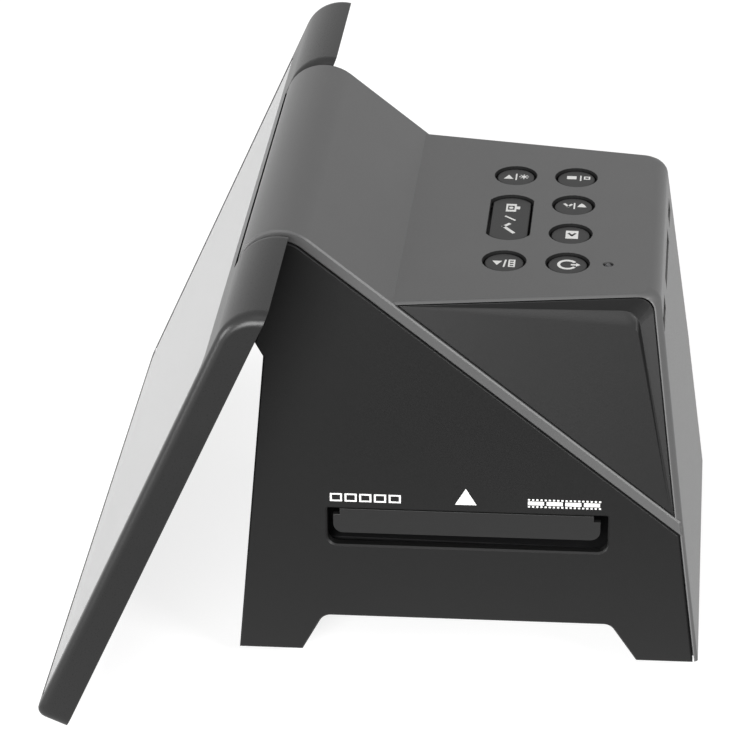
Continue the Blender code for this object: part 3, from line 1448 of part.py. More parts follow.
def make_display_housing():
    housing = display_body("display_housing")
    cut(housing, face_plate("glass_seat", GLASS_HALF_WIDTH + GAP / 2, -GLASS_TOP + GAP / 2,
                            -GLASS_BOTTOM - GAP / 2, GLASS_CORNER, DISPLAY_FRONT - OVERRUN, SHEET_FRONT))
    window_bottom = WINDOW_TOP + WINDOW_HEIGHT
    cut(housing, display_room("room", SHEET_BACK, DISPLAY_BACK, 0))
    back_opening = display_room("back_opening", DISPLAY_BACK - GAP, DISPLAY_BACK, 0)
    stretch = Matrix.Translation((0, GAP / 2, 0))
    cut(housing, placed(back_opening, stretch))
    cut(housing, face_plate("window", WINDOW_HALF_WIDTH, -WINDOW_TOP, -window_bottom, EDGE_BREAK,
                            DISPLAY_FRONT - OVERRUN, SCREEN_FRONT))
    for sign in (-1, 1):
        near = sign * (DISPLAY_NOTCH_HALF - OVERRUN)
        far = sign * (DISPLAY_NOTCH_HALF + DISPLAY_WALL + GAP)
        low, high = sorted((near, far))
        room = ARM_CLEARANCE
        cut(housing, block("arm_door", (low, -ARM_FAR - room, -ARM_BELOW - room),
                           (high, -ARM_NEAR + room, ARM_ABOVE + room)))
    complete(housing, finish("display_housing", PANEL_PLASTIC, 0.45), display_pivot)


def make_display_inside():
    glass = face_plate("cover_glass", GLASS_HALF_WIDTH - GAP / 2, -GLASS_TOP - GAP / 2,
                       -GLASS_BOTTOM + GAP / 2, GLASS_CORNER, DISPLAY_FRONT + GLASS_SUNK, GLASS_BACK)
    complete(glass, finish("cover_glass", GLASS_GREY, 0.05), display_pivot)

    top = -WINDOW_TOP + PANEL_MARGIN
    bottom = -WINDOW_TOP - WINDOW_HEIGHT - PANEL_MARGIN
    screen = face_plate("lcd_panel", WINDOW_HALF_WIDTH + PANEL_MARGIN, top, bottom, EDGE_BREAK,
                        SCREEN_FRONT, SCREEN_BACK)
    complete(screen, finish("lcd_panel", SCREEN_GREY, 0.2), display_pivot)

    middle = (top + bottom) / 2
    board_front = COVER_FRONT - GAP - DISPLAY_BOARD_THICKNESS
    board = face_plate("display_board", DISPLAY_BOARD_HALF_WIDTH, middle + DISPLAY_BOARD_LENGTH / 2,
                       middle - DISPLAY_BOARD_LENGTH / 2, EDGE_BREAK, board_front, COVER_FRONT - GAP)
    complete(board, finish("display_board", BOARD_GREEN, 0.5), display_pivot)


def make_display_back():
    """The rear cover, let into the back of the housing, with its screw heads in shallow dishes."""
    back = display_room("display_back_cover", COVER_FRONT, DISPLAY_BACK, GAP)
    heads = []
    half = DISPLAY_HALF_WIDTH - 4 * DISPLAY_WALL
    for x in (-half, half):
        for z in (-2 * DISPLAY_RADIUS, 4 * DISPLAY_WALL - DISPLAY_LENGTH):
            dish = turned("dish", [(BACK_SCREW_RADIUS, 0), (BACK_SCREW_RADIUS, OVERRUN)],
                          SMALL_ROUND_STEPS)
            turn = Matrix.Rotation(-math.pi / 2, 4, "X")
            place = Matrix.Translation((x, DISPLAY_BACK - BACK_SCREW_DEPTH, z))
            heads.append(placed(dish, place @ turn))
    cut(back, *heads)
    complete(back, finish("display_back_cover", BLACK_PLASTIC, 0.55), display_pivot)


# Dust flap in the entry slot

def make_dust_flap():
    """A thin plate that hangs in the slot, joined by a web to a barrel that turns on the pin."""
    frame = flap_frame()
    pivot = empty("flap_pivot", scanner)
    pivot.matrix_local = frame
    half = (SLOT_REAR_Y - SLOT_FRONT_Y) / 2 * math.hypot(1, math.tan(FLAP_TURN))
    front = FLAP_END_GAP_FRONT - half
    rear = half - FLAP_END_GAP_REAR
    top = -FLAP_PIN_RISE - FLAP_TOP_GAP
    foot = SLOT_FLOOR_Z - SLOT_TOP_Z - FLAP_PIN_RISE + FLAP_FOOT_GAP
    outer = FLAP_PIN_DEPTH - FLAP_SUNK
    inner = outer - FLAP_THICKNESS
    notch_y = FLAP_NOTCH_LENGTH - FLAP_END_GAP_FRONT
    outline = rounded([
        (front, foot, FLAP_CORNER),
        (rear, foot, FLAP_CORNER),
        (rear, top - FLAP_NOTCH_DEPTH, 0),
        (rear - notch_y, top - FLAP_NOTCH_DEPTH, 0),
        (rear - notch_y, top, 0),
        (front + notch_y, top, 0),
        (front + notch_y, top - FLAP_NOTCH_DEPTH, 0),
        (front, top - FLAP_NOTCH_DEPTH, 0),
    ])
    flap = prism("dust_flap", outline, at(inner), at(outer))
    start = front + notch_y + GAP
    end = rear - notch_y - GAP
    barrel = flap_bar("barrel", FLAP_BARREL_RADIUS, start, end, SMALL_ROUND_STEPS)
    web_top = top - GAP
    web = block("web", (-FLAP_BARREL_RADIUS / 2, start + GAP, web_top - FLAP_WEB_THICKNESS),
                (inner + FLAP_THICKNESS / 2, end - GAP, web_top))
    add(flap, barrel)
    add(flap, web)
    cut(flap, flap_bar("flap_bore", FLAP_PIN_RADIUS + FLAP_BORE_CLEARANCE, start - OVERRUN,
                       end + OVERRUN, SMALL_ROUND_STEPS))
    complete(flap, finish("dust_flap", PANEL_PLASTIC, 0.5), pivot)

    pin = flap_bar("flap_pin", FLAP_PIN_RADIUS, -pin_half(), pin_half(), SMALL_ROUND_STEPS)
    placed(pin, frame)
    complete(pin, finish("flap_pin", STEEL, 0.3, 1.0))


make_top_cover()
make_side_panel("deck_panel_right", 1)
make_side_panel("deck_panel_left", -1)
make_lower_case()
make_bottom_cover()
make_feet()
make_screws()
make_film_gate()
make_light_box()
make_camera()
make_main_board()
make_sockets()
make_keys()
make_status_light()
make_hinge("left", -1)
make_hinge("right", 1)
make_display_housing()
make_display_inside()
make_display_back()
make_dust_flap()
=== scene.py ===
import json
import math

import bmesh
import bpy
from mathutils import Matrix, Vector
from mathutils.bvhtree import BVHTree

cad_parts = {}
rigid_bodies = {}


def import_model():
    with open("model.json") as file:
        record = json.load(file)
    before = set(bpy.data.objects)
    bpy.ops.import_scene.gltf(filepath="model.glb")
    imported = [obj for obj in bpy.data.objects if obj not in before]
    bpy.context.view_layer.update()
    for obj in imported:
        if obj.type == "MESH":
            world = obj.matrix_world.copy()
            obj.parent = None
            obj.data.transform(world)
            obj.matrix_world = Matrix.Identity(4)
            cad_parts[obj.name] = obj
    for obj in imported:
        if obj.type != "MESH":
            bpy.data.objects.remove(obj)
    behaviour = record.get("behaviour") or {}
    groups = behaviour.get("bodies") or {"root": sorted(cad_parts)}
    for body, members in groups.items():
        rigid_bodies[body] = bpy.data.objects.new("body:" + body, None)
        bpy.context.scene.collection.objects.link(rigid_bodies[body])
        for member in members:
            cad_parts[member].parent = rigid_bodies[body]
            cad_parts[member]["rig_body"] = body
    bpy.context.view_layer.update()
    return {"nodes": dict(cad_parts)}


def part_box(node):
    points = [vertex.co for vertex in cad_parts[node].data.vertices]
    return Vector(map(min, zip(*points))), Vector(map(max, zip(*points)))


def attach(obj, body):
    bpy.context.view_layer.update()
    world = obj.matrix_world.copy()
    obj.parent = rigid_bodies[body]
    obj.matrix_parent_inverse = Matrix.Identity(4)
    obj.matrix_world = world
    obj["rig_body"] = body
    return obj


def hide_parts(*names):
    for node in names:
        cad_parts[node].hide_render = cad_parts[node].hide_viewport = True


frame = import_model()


# The view: a long lens beside the scanner, raised about thirty degrees, as for a catalogue picture.
# It looks along the film slot from the side where the holder goes in.

SENSOR_WIDTH = 36.0
PICTURE_PIXELS = 736.0
FOCAL_PIXELS = 3200.0
VIEW_AZIMUTH = math.radians(96.32)
VIEW_ELEVATION = math.radians(29.86)
VIEW_ROLL = math.radians(-0.89)
VIEW_DISTANCE = 0.79605
VIEW_TARGET = Vector((0.0, -0.00696, 0.05394))
NEAR_CLIP = 0.01

towards_camera = Vector((
    math.sin(VIEW_AZIMUTH) * math.cos(VIEW_ELEVATION),
    -math.cos(VIEW_AZIMUTH) * math.cos(VIEW_ELEVATION),
    math.sin(VIEW_ELEVATION),
))
level_right = Vector((0, 0, 1)).cross(towards_camera).normalized()
level_up = towards_camera.cross(level_right)
picture_right = level_right * math.cos(VIEW_ROLL) + level_up * math.sin(VIEW_ROLL)
picture_up = level_up * math.cos(VIEW_ROLL) - level_right * math.sin(VIEW_ROLL)
lens = bpy.data.cameras.new("camera")
lens.sensor_width = SENSOR_WIDTH
lens.lens = FOCAL_PIXELS / PICTURE_PIXELS * SENSOR_WIDTH
lens.clip_start = NEAR_CLIP
camera = bpy.data.objects.new("camera", lens)
camera.matrix_world = Matrix.Translation(VIEW_TARGET + towards_camera * VIEW_DISTANCE) @ Matrix(
    (picture_right, picture_up, towards_camera)).transposed().to_4x4()
bpy.context.scene.collection.objects.link(camera)
bpy.context.scene.camera = camera
bpy.context.scene.view_settings.view_transform = "Standard"


# The studio: a wide white sweep in a white room, lit by a large low soft box beside the camera.
# Smaller boxes from above, behind and in front draw the highlights along the rounded edges.

PAPER_WHITE = "#a8a8a8"
TABLE_HALF = 3.0
TABLE_DROP = 0.0002
ROOM_LEVEL = 0.33
ROOM_GLOSS = 0.92
TABLE_CAMERA_GLOW = 0.80
TABLE_GLOSS_GLOW = 0.88
NEAR_SIDE_DARK_FROM = 0.05
NEAR_SIDE_DARK_TO = 0.17
FRONT_GLOW_FROM = -0.10
FRONT_GLOW_TO = -0.24

# Each box has its direction, its distance and its width in metres, and its level on a facing card.
SOFT_BOXES = {
    "side_box": ((0.96, -0.20, 0.25), 1.6, 0.80, 1.30),
    "top_box": ((0.45, -0.05, 0.89), 1.3, 0.50, 0.05),
    "rear_box": ((0.45, 0.74, 0.50), 1.4, 0.50, 0.46),
    "front_box": ((0.45, -0.88, 0.14), 1.4, 0.60, 0.72),
}


def linear(colour):
    """An sRGB hex value as a linear colour with full alpha."""
    shares = [int(colour[place:place + 2], 16) / 255 for place in (1, 3, 5)]
    return tuple(share / 12.92 if share <= 0.04045 else ((share + 0.055) / 1.055) ** 2.4
                 for share in shares) + (1.0,)


def node(tree, kind, settings=None, links=None):
    """Adds one node with its properties, socket values and incoming links."""
    made = tree.nodes.new(kind)
    for name, value in (settings or {}).items():
        if isinstance(name, str) and hasattr(made, name) and name not in made.inputs:
            setattr(made, name, value)
        else:
            made.inputs[name].default_value = value
    for name, source in (links or {}).items():
        tree.links.new(source, made.inputs[name])
    return made


room = bpy.data.worlds.new("white_room")
room.use_nodes = True
bpy.context.scene.world = room
sky = room.node_tree
sky.nodes.clear()
seen = node(sky, "ShaderNodeLightPath")
gloss = node(sky, "ShaderNodeMath", {"operation": "MULTIPLY", 1: ROOM_GLOSS}, {
    0: seen.outputs["Is Glossy Ray"]})
shown = node(sky, "ShaderNodeMath", {"operation": "MAXIMUM"}, {
    0: seen.outputs["Is Camera Ray"], 1: seen.outputs["Is Transmission Ray"]})
either = node(sky, "ShaderNodeMath", {"operation": "MAXIMUM"}, {
    0: gloss.outputs[0], 1: shown.outputs[0]})
level = node(sky, "ShaderNodeMath", {"operation": "MAXIMUM", 1: ROOM_LEVEL}, {0: either.outputs[0]})
white = node(sky, "ShaderNodeBackground", {"Color": (1, 1, 1, 1)}, {"Strength": level.outputs[0]})
node(sky, "ShaderNodeOutputWorld", {}, {"Surface": white.outputs[0]})

for name, (direction, distance, size, strength) in SOFT_BOXES.items():
    box = bpy.data.lights.new(name, "AREA")
    box.size = size
    box.energy = strength * (math.pi * distance) ** 2
    lamp = bpy.data.objects.new(name, box)
    lamp.location = VIEW_TARGET + Vector(direction).normalized() * distance
    lamp.rotation_euler = (-Vector(direction)).to_track_quat("-Z", "Y").to_euler()
    bpy.context.scene.collection.objects.link(lamp)

# The paper glows only in reflections, as a painted reflection: white behind and in front of the
# object, falling off to none on the near side, so that the side walls stay dark and their edges show.
paper = bpy.data.materials.new("white_paper_sweep")
paper.use_nodes = True
sheet = paper.node_tree
sheet.nodes.clear()
seen = node(sheet, "ShaderNodeLightPath")
place = node(sheet, "ShaderNodeSeparateXYZ", {}, {
    0: node(sheet, "ShaderNodeTexCoord").outputs["Object"]})
far_side = node(sheet, "ShaderNodeMapRange", {
    "From Min": NEAR_SIDE_DARK_FROM, "From Max": NEAR_SIDE_DARK_TO,
    "To Min": TABLE_GLOSS_GLOW, "To Max": 0.0}, {"Value": place.outputs["X"]})
mirrored = node(sheet, "ShaderNodeMath", {"operation": "MAXIMUM"}, {
    0: seen.outputs["Is Glossy Ray"], 1: seen.outputs["Is Transmission Ray"]})
front_side = node(sheet, "ShaderNodeMapRange", {
    "From Min": FRONT_GLOW_FROM, "From Max": FRONT_GLOW_TO,
    "To Min": 0.0, "To Max": TABLE_GLOSS_GLOW}, {"Value": place.outputs["Y"]})
bright = node(sheet, "ShaderNodeMath", {"operation": "MAXIMUM"}, {
    0: far_side.outputs[0], 1: front_side.outputs[0]})
gloss = node(sheet, "ShaderNodeMath", {"operation": "MULTIPLY"}, {
    0: mirrored.outputs[0], 1: bright.outputs[0]})
shown = node(sheet, "ShaderNodeMath", {"operation": "MULTIPLY", 1: TABLE_CAMERA_GLOW}, {
    0: seen.outputs["Is Camera Ray"]})
glow = node(sheet, "ShaderNodeMath", {"operation": "MAXIMUM"}, {
    0: gloss.outputs[0], 1: shown.outputs[0]})
unmirrored = node(sheet, "ShaderNodeMix", {
    "data_type": "RGBA", 6: linear(PAPER_WHITE), 7: (0, 0, 0, 1)}, {0: mirrored.outputs[0]})
matt = node(sheet, "ShaderNodeBsdfDiffuse", {}, {"Color": unmirrored.outputs[2]})
light = node(sheet, "ShaderNodeEmission", {"Color": (1, 1, 1, 1)}, {"Strength": glow.outputs[0]})
both = node(sheet, "ShaderNodeAddShader", {}, {0: matt.outputs[0], 1: light.outputs[0]})
node(sheet, "ShaderNodeOutputMaterial", {}, {"Surface": both.outputs[0]})
table_mesh = bpy.data.meshes.new("table")
table_mesh.from_pydata(
    [(-TABLE_HALF, -TABLE_HALF, 0), (TABLE_HALF, -TABLE_HALF, 0),
     (TABLE_HALF, TABLE_HALF, 0), (-TABLE_HALF, TABLE_HALF, 0)], [], [(0, 1, 2, 3)])
table_mesh.materials.append(paper)
table = bpy.data.objects.new("table", table_mesh)
table.location = (0, 0, -TABLE_DROP)
bpy.context.scene.collection.objects.link(table)


# Lower case: one moulding of black ABS with both side walls, the front wall and the arch.
# Its mould was spark eroded, which leaves a fine matt grain that breaks up every reflection.
# That grain is about 0.1 mm across, and on every moulding it is drawn coarser so that it shows.

MM = 0.001
BLACK_ABS = "#111111"
PLASTIC_IOR = 1.53
SPARK_GRAIN = 0.35 * MM
MOTTLE_GRAINS = 40
GLOSS_SPREAD = 0.04
SHEEN_SHARE = 0.3
# Convex outer edges are painted lighter, a painted highlight, and made less rough; above the deck level
# they are left plain.
EDGE_WIDTH = 0.35 * MM
EDGE_HIGHLIGHT = 1.7
EDGE_POLISH = 0.12
DECK_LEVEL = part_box("status_light")[1].z
HIGHLIGHT_BELOW = DECK_LEVEL - 1.3 * MM
HIGHLIGHT_FADE = 0.8 * MM
WELD_WITHIN = 0.001 * MM
FLAT_BELOW = math.radians(0.3)
SMOOTH_BELOW = math.radians(30)
EDGE_ROUND = 0.12 * MM
CASE_EDGE = 0.4 * MM
ROUND_ABOVE = math.radians(35)


def new_material(name):
    """A new material, its node tree, its shader and the place on the piece."""
    material = bpy.data.materials.new(name)
    material.use_nodes = True
    tree = material.node_tree
    where = node(tree, "ShaderNodeTexCoord").outputs["Object"]
    return material, tree, tree.nodes["Principled BSDF"], where


def moulded_plastic(name, colour, roughness, grain=SPARK_GRAIN, depth=0.06, mottle=0.05,
                    highlight_gain=EDGE_HIGHLIGHT, shine=SHEEN_SHARE):
    """Injection-moulded plastic: faint mottling, the grain of a spark-eroded mould, and outer edges
    with a painted highlight and a smoother finish, except up on the deck and the hump."""
    material, tree, shader, where = new_material(name)
    shader.inputs["IOR"].default_value = PLASTIC_IOR
    shader.inputs["Specular IOR Level"].default_value = shine
    fine = node(tree, "ShaderNodeTexNoise", {"Scale": 1 / grain, "Detail": 3.0, "Roughness": 0.6},
                {"Vector": where})
    broad = node(tree, "ShaderNodeTexNoise", {"Scale": 1 / (MOTTLE_GRAINS * grain), "Detail": 2.0},
                 {"Vector": where})
    base = Vector(linear(colour)[:3])
    tone = node(tree, "ShaderNodeMix", {
        "data_type": "RGBA", 6: (*(base * (1 - mottle)), 1), 7: (*(base * (1 + mottle)), 1)},
        {0: broad.outputs["Fac"]})
    sheen = node(tree, "ShaderNodeMapRange", {
        "From Min": 0.3, "From Max": 0.7, "To Min": roughness - GLOSS_SPREAD,
        "To Max": roughness + GLOSS_SPREAD}, {"Value": fine.outputs["Fac"]})
    bump = node(tree, "ShaderNodeBump", {"Strength": depth, "Distance": grain},
                {"Height": fine.outputs["Fac"]})
    # Painted highlight: convex outer edges below the deck are lightened in colour and made less rough.
    inward = node(tree, "ShaderNodeAmbientOcclusion", {
        "inside": True, "only_local": True, "samples": 4, "Distance": EDGE_WIDTH})
    height = node(tree, "ShaderNodeSeparateXYZ", {}, {0: where})
    highlight_height = node(tree, "ShaderNodeMapRange", {
        "From Min": HIGHLIGHT_BELOW, "From Max": HIGHLIGHT_BELOW - HIGHLIGHT_FADE}, {"Value": height.outputs["Z"]})
    edge = node(tree, "ShaderNodeMapRange", {"From Min": 0.85, "From Max": 0.5}, {
        "Value": inward.outputs["AO"], "To Max": highlight_height.outputs[0]})
    highlighted_tone = node(tree, "ShaderNodeMix", {"data_type": "RGBA", 7: (*(base * highlight_gain), 1)}, {
        0: edge.outputs[0], 6: tone.outputs[2]})
    polished = node(tree, "ShaderNodeMapRange", {"To Max": roughness - EDGE_POLISH}, {
        "Value": edge.outputs[0], "To Min": sheen.outputs[0]})
    tree.links.new(highlighted_tone.outputs[2], shader.inputs["Base Color"])
    tree.links.new(polished.outputs[0], shader.inputs["Roughness"])
    tree.links.new(bump.outputs[0], shader.inputs["Normal"])
    return material


def shown_piece(name, mesh, material, body):
    """Puts a mesh in the scene with its material and its body."""
    mesh.materials.clear()
    mesh.materials.append(material)
    piece = bpy.data.objects.new(name, mesh)
    bpy.context.scene.collection.objects.link(piece)
    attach(piece, body)
    return piece


def smooth_copy(solid, name, material, smooth_below=SMOOTH_BELOW, edge=EDGE_ROUND):
    """A welded copy of one solid with softened edges and smooth round surfaces, which stands for it."""
    source = frame["nodes"][solid]
    shape = bmesh.new()
    shape.from_mesh(source.data)
    bmesh.ops.remove_doubles(shape, verts=shape.verts, dist=WELD_WITHIN)
    bmesh.ops.dissolve_limit(shape, angle_limit=FLAT_BELOW, verts=shape.verts, edges=shape.edges)
    mesh = bpy.data.meshes.new(name)
    shape.to_mesh(mesh)
    shape.free()
    mesh.shade_smooth()
    mesh.set_sharp_from_angle(angle=smooth_below)
    piece = shown_piece(name, mesh, material, source["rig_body"])
    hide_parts(solid)
    if edge:
        softened = piece.modifiers.new("softened_edges", "BEVEL")
        softened.width = edge
        softened.segments = 2
        softened.limit_method = "ANGLE"
        softened.angle_limit = ROUND_ABOVE
    weighted = piece.modifiers.new("even_normals", "WEIGHTED_NORMAL")
    weighted.keep_sharp = True
    return piece


def dress(solid, material):
    """Gives a hidden solid its own finish without a copy."""
    slots = frame["nodes"][solid].data.materials
    slots.clear()
    slots.append(material)


black_abs = moulded_plastic("black_spark_eroded_abs", BLACK_ABS, 0.44)
smooth_copy("lower_case", "case_moulding", black_abs, edge=CASE_EDGE)
smooth_copy("bottom_cover", "case_bottom", black_abs)


# Top cover: one moulding of dark grey ABS with the hump, the long rims, the deck and the rear wall.
# It has the same fine grain as the case and a slightly silkier surface.

GREY_ABS = "#545454"
# The grey cover's outer edges get a stronger painted highlight.
RIM_HIGHLIGHT = 2.1

grey_abs = moulded_plastic("grey_spark_eroded_abs", GREY_ABS, 0.35, highlight_gain=RIM_HIGHLIGHT)
smooth_copy("top_cover", "cover_moulding", grey_abs)


# Side panels: charcoal ABS plates snapped into pockets in the flanks of the deck.
# A valley along the top and rear edges of each sets off its flat middle.

CHARCOAL_ABS = "#1b1b1b"
CREASE_BELOW = math.radians(6)
PANEL_EDGE = 0.08 * MM

charcoal_abs = moulded_plastic("charcoal_spark_eroded_abs", CHARCOAL_ABS, 0.40)
for side in ("left", "right"):
    smooth_copy("deck_panel_" + side, "flank_panel_" + side, charcoal_abs,
                CREASE_BELOW, PANEL_EDGE)


# Dust flap: a thin charcoal ABS door with a hinge barrel, held shut by a light spring.
# It shuts the slot in the right side until a film holder pushes it inwards.

FLAP_ABS = "#1f1f1f"

flap_abs = moulded_plastic("satin_flap_abs", FLAP_ABS, 0.44)
smooth_copy("dust_flap", "slot_flap", flap_abs)


# Display housing: charcoal ABS with a silky mould finish, rounded along its front edges and ears.
# The rear cover is the black plastic of the case and is screwed on from behind.

DISPLAY_ABS = "#262626"
DISPLAY_GRAIN = 0.25 * MM
DISPLAY_SHINE = 0.24

display_abs = moulded_plastic("silky_charcoal_abs", DISPLAY_ABS, 0.30, DISPLAY_GRAIN, 0.02,
                              shine=DISPLAY_SHINE)
smooth_copy("display_housing", "display_shell", display_abs)
smooth_copy("display_back_cover", "display_rear_plate", black_abs)


# Front glass and screen: float glass bonded over a liquid crystal panel.
# The unlit panel is nearly black and a little blue, with a fine grid of picture cells.

GLASS_IOR = 1.52
SMEAR_SIZE = 16.67 * MM
SCREEN_OFF = "#15171b"
CELL_PITCH = 0.12 * MM
CELL_GAP = (0.002, 0.002, 0.002, 1)


def clean_glass(name, roughness):
    """Clear float glass, sharp and bright, with the faint smears that a wiped pane keeps."""
    material, tree, shader, where = new_material(name)
    shader.inputs["Base Color"].default_value = (1, 1, 1, 1)
    shader.inputs["Transmission Weight"].default_value = 1.0
    shader.inputs["IOR"].default_value = GLASS_IOR
    smear = node(tree, "ShaderNodeTexNoise", {"Scale": 1 / SMEAR_SIZE, "Detail": 2.0},
                 {"Vector": where})
    haze = node(tree, "ShaderNodeMapRange", {"To Min": roughness / 2, "To Max": roughness * 2},
                {"Value": smear.outputs["Fac"]})
    tree.links.new(haze.outputs[0], shader.inputs["Roughness"])
    return material


def picture_cells(name, colour):
    """A switched-off liquid crystal panel: dark, smooth, with a fine grid of cells."""
    material, tree, shader, where = new_material(name)
    shader.inputs["Roughness"].default_value = 0.18
    cells = node(tree, "ShaderNodeTexBrick", {
        "offset": 0.0, "Scale": 1 / CELL_PITCH, "Color1": linear(colour), "Color2": linear(colour),
        "Mortar": CELL_GAP, "Mortar Size": 0.08, "Brick Width": 1.0,
        "Row Height": 1.0}, {"Vector": where})
    tree.links.new(cells.outputs["Color"], shader.inputs["Base Color"])
    return material


smooth_copy("cover_glass", "front_glass", clean_glass("wiped_float_glass", 0.02),
            edge=0)
dress("lcd_panel", picture_cells("liquid_crystal_cells", SCREEN_OFF))


# Push buttons: black ABS caps that stand a little below the deck, each in a ring of painted shade.
# They carry white pictograms laid on by pad printing.

KEY_ABS = "#1e1e1e"
KEY_GRAIN = 0.2 * MM
KEYS = ("key_up", "key_capture", "key_down", "key_edit", "key_adjust", "key_save", "key_power")

key_abs = moulded_plastic("silky_key_abs", KEY_ABS, 0.42, KEY_GRAIN, 0.03)
for key in KEYS:
    smooth_copy(key, key.replace("key_", "button_"), key_abs)


# Shade rings: thin near-black rings that line each key opening and end just below the deck.
# They are painted shade, standing for the dark gap round each key.

SHADE_RING_BLACK = "#0c0c0c"
SHADE_RING_GRAIN = 0.3 * MM
SHADE_RING_TOP = 0.04 * MM
SHADE_RING_DEPTH = 1.5 * MM
SHADE_RING_WALL = 0.14 * MM
KEY_FLANGE = 1.0 * MM
LONG_OPENING_RADIUS = 6.15 * MM
SHADE_RING_STEPS = 26
SHADE_RING_END_STEPS = 12
BESIDE_KEY = 0.6 * MM
PROBE_HEIGHT = 5 * MM
DOWN = Vector((0, 0, -1))

shade_ring_finish = moulded_plastic("painted_shade_black", SHADE_RING_BLACK, 0.8, SHADE_RING_GRAIN, 0.05)


def opening_outline(key, inset):
    """The edge of a key's opening, drawn in by an inset. The key's hidden flange reaches past it."""
    low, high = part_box(key)
    reach = (high.x - low.x) / 2 - KEY_FLANGE - inset
    if key != "key_capture":
        turns = [math.tau * step / SHADE_RING_STEPS for step in range(SHADE_RING_STEPS)]
        return [(reach * math.cos(turn), reach * math.sin(turn)) for turn in turns]
    half = (high.y - low.y) / 2 - KEY_FLANGE - inset
    radius = LONG_OPENING_RADIUS - inset
    last = math.asin(half / radius)
    turns = [-last + 2 * last * step / SHADE_RING_END_STEPS for step in range(SHADE_RING_END_STEPS + 1)]
    end = [(reach - radius + radius * math.cos(turn), radius * math.sin(turn)) for turn in turns]
    return end + [(-x, -y) for x, y in end]


def surface_of(solid):
    """The faces of a solid, to find where a straight line meets them."""
    mesh = frame["nodes"][solid].data
    return BVHTree.FromPolygons([corner.co for corner in mesh.vertices],
                                [face.vertices for face in mesh.polygons])


def wall(shape, first, second):
    """Four-sided faces between two rings of corners."""
    for step in range(len(first)):
        after = (step + 1) % len(first)
        shape.faces.new((first[step], first[after], second[after], second[step]))


def closed_mesh(shape, name):
    """Turns all faces outwards and keeps the shape as a mesh."""
    bmesh.ops.recalc_face_normals(shape, faces=shape.faces)
    mesh = bpy.data.meshes.new(name)
    shape.to_mesh(mesh)
    shape.free()
    return mesh


# Each ring is set into the gap round its key as painted shade.
cover_surface = surface_of("top_cover")
for key in KEYS:
    low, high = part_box(key)
    middle = (low + high) / 2
    deck, _, _, _ = cover_surface.ray_cast(
        Vector((middle.x, high.y + BESIDE_KEY, high.z + PROBE_HEIGHT)), DOWN)
    shape = bmesh.new()
    rings = [[shape.verts.new((middle.x + x, middle.y + y, deck.z - drop))
              for x, y in opening_outline(key, inset)]
             for inset, drop in ((0, SHADE_RING_TOP), (SHADE_RING_WALL, SHADE_RING_TOP),
                                 (SHADE_RING_WALL, SHADE_RING_DEPTH), (0, SHADE_RING_DEPTH))]
    for first, second in zip(rings, rings[1:] + rings[:1]):
        wall(shape, first, second)
    shown_piece(key.replace("key_", "shade_ring_"), closed_mesh(shape, "shade_ring"), shade_ring_finish,
                frame["nodes"]["top_cover"]["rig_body"])


# Pad printing: a thin film of white ink, a few hundredths of a millimetre proud of the plastic.
# The ink is slightly translucent and pools unevenly, so its edge and its gloss vary a little.

INK_WHITE = "#e8e8e6"
INK_PROUD = 0.03 * MM
INK_POOL = 0.25 * MM
THIN_INK_SHARE = 0.9
BACKWARD = Vector((0, 1, 0))


def printing_ink(name, colour):
    """Dried pad-printing ink: half-matt, a little duller and darker where it lies thin."""
    material, tree, shader, where = new_material(name)
    pool = node(tree, "ShaderNodeTexNoise", {"Scale": 1 / INK_POOL, "Detail": 2.0}, {"Vector": where})
    base = Vector(linear(colour)[:3])
    tone = node(tree, "ShaderNodeMix", {
        "data_type": "RGBA", 6: (*(base * THIN_INK_SHARE), 1), 7: (*base, 1)},
        {0: pool.outputs["Fac"]})
    sheen = node(tree, "ShaderNodeMapRange", {"To Min": 0.4, "To Max": 0.65},
                 {"Value": pool.outputs["Fac"]})
    tree.links.new(tone.outputs[2], shader.inputs["Base Color"])
    tree.links.new(sheen.outputs[0], shader.inputs["Roughness"])
    return material


def bar(left, low, right, high):
    """A patch with four square corners."""
    return [(left, low), (right, low), (right, high), (left, high)]


def stroke(points, width):
    """One four-sided patch for each stretch of a line of a given width."""
    patches = []
    for (a, b), (c, d) in zip(points, points[1:]):
        along = Vector((c - a, d - b)).normalized() * width / 2
        across = Vector((-along.y, along.x))
        start = Vector((a, b)) - along
        end = Vector((c, d)) + along
        patches.append([tuple(start - across), tuple(end - across), tuple(end + across),
                        tuple(start + across)])
    return patches


def ring(u, v, radius, width, start, end, steps):
    """Patches round a circle from one angle to another, in degrees."""
    turns = [math.radians(start + (end - start) * step / steps) for step in range(steps + 1)]
    inner = [(u + (radius - width) * math.cos(a), v + (radius - width) * math.sin(a)) for a in turns]
    outer = [(u + radius * math.cos(a), v + radius * math.sin(a)) for a in turns]
    return [[inner[step], outer[step], outer[step + 1], inner[step + 1]] for step in range(steps)]


def disc(u, v, radius, steps):
    """A round patch."""
    turns = [math.tau * step / steps for step in range(steps)]
    return [(u + radius * math.cos(turn), v + radius * math.sin(turn)) for turn in turns]


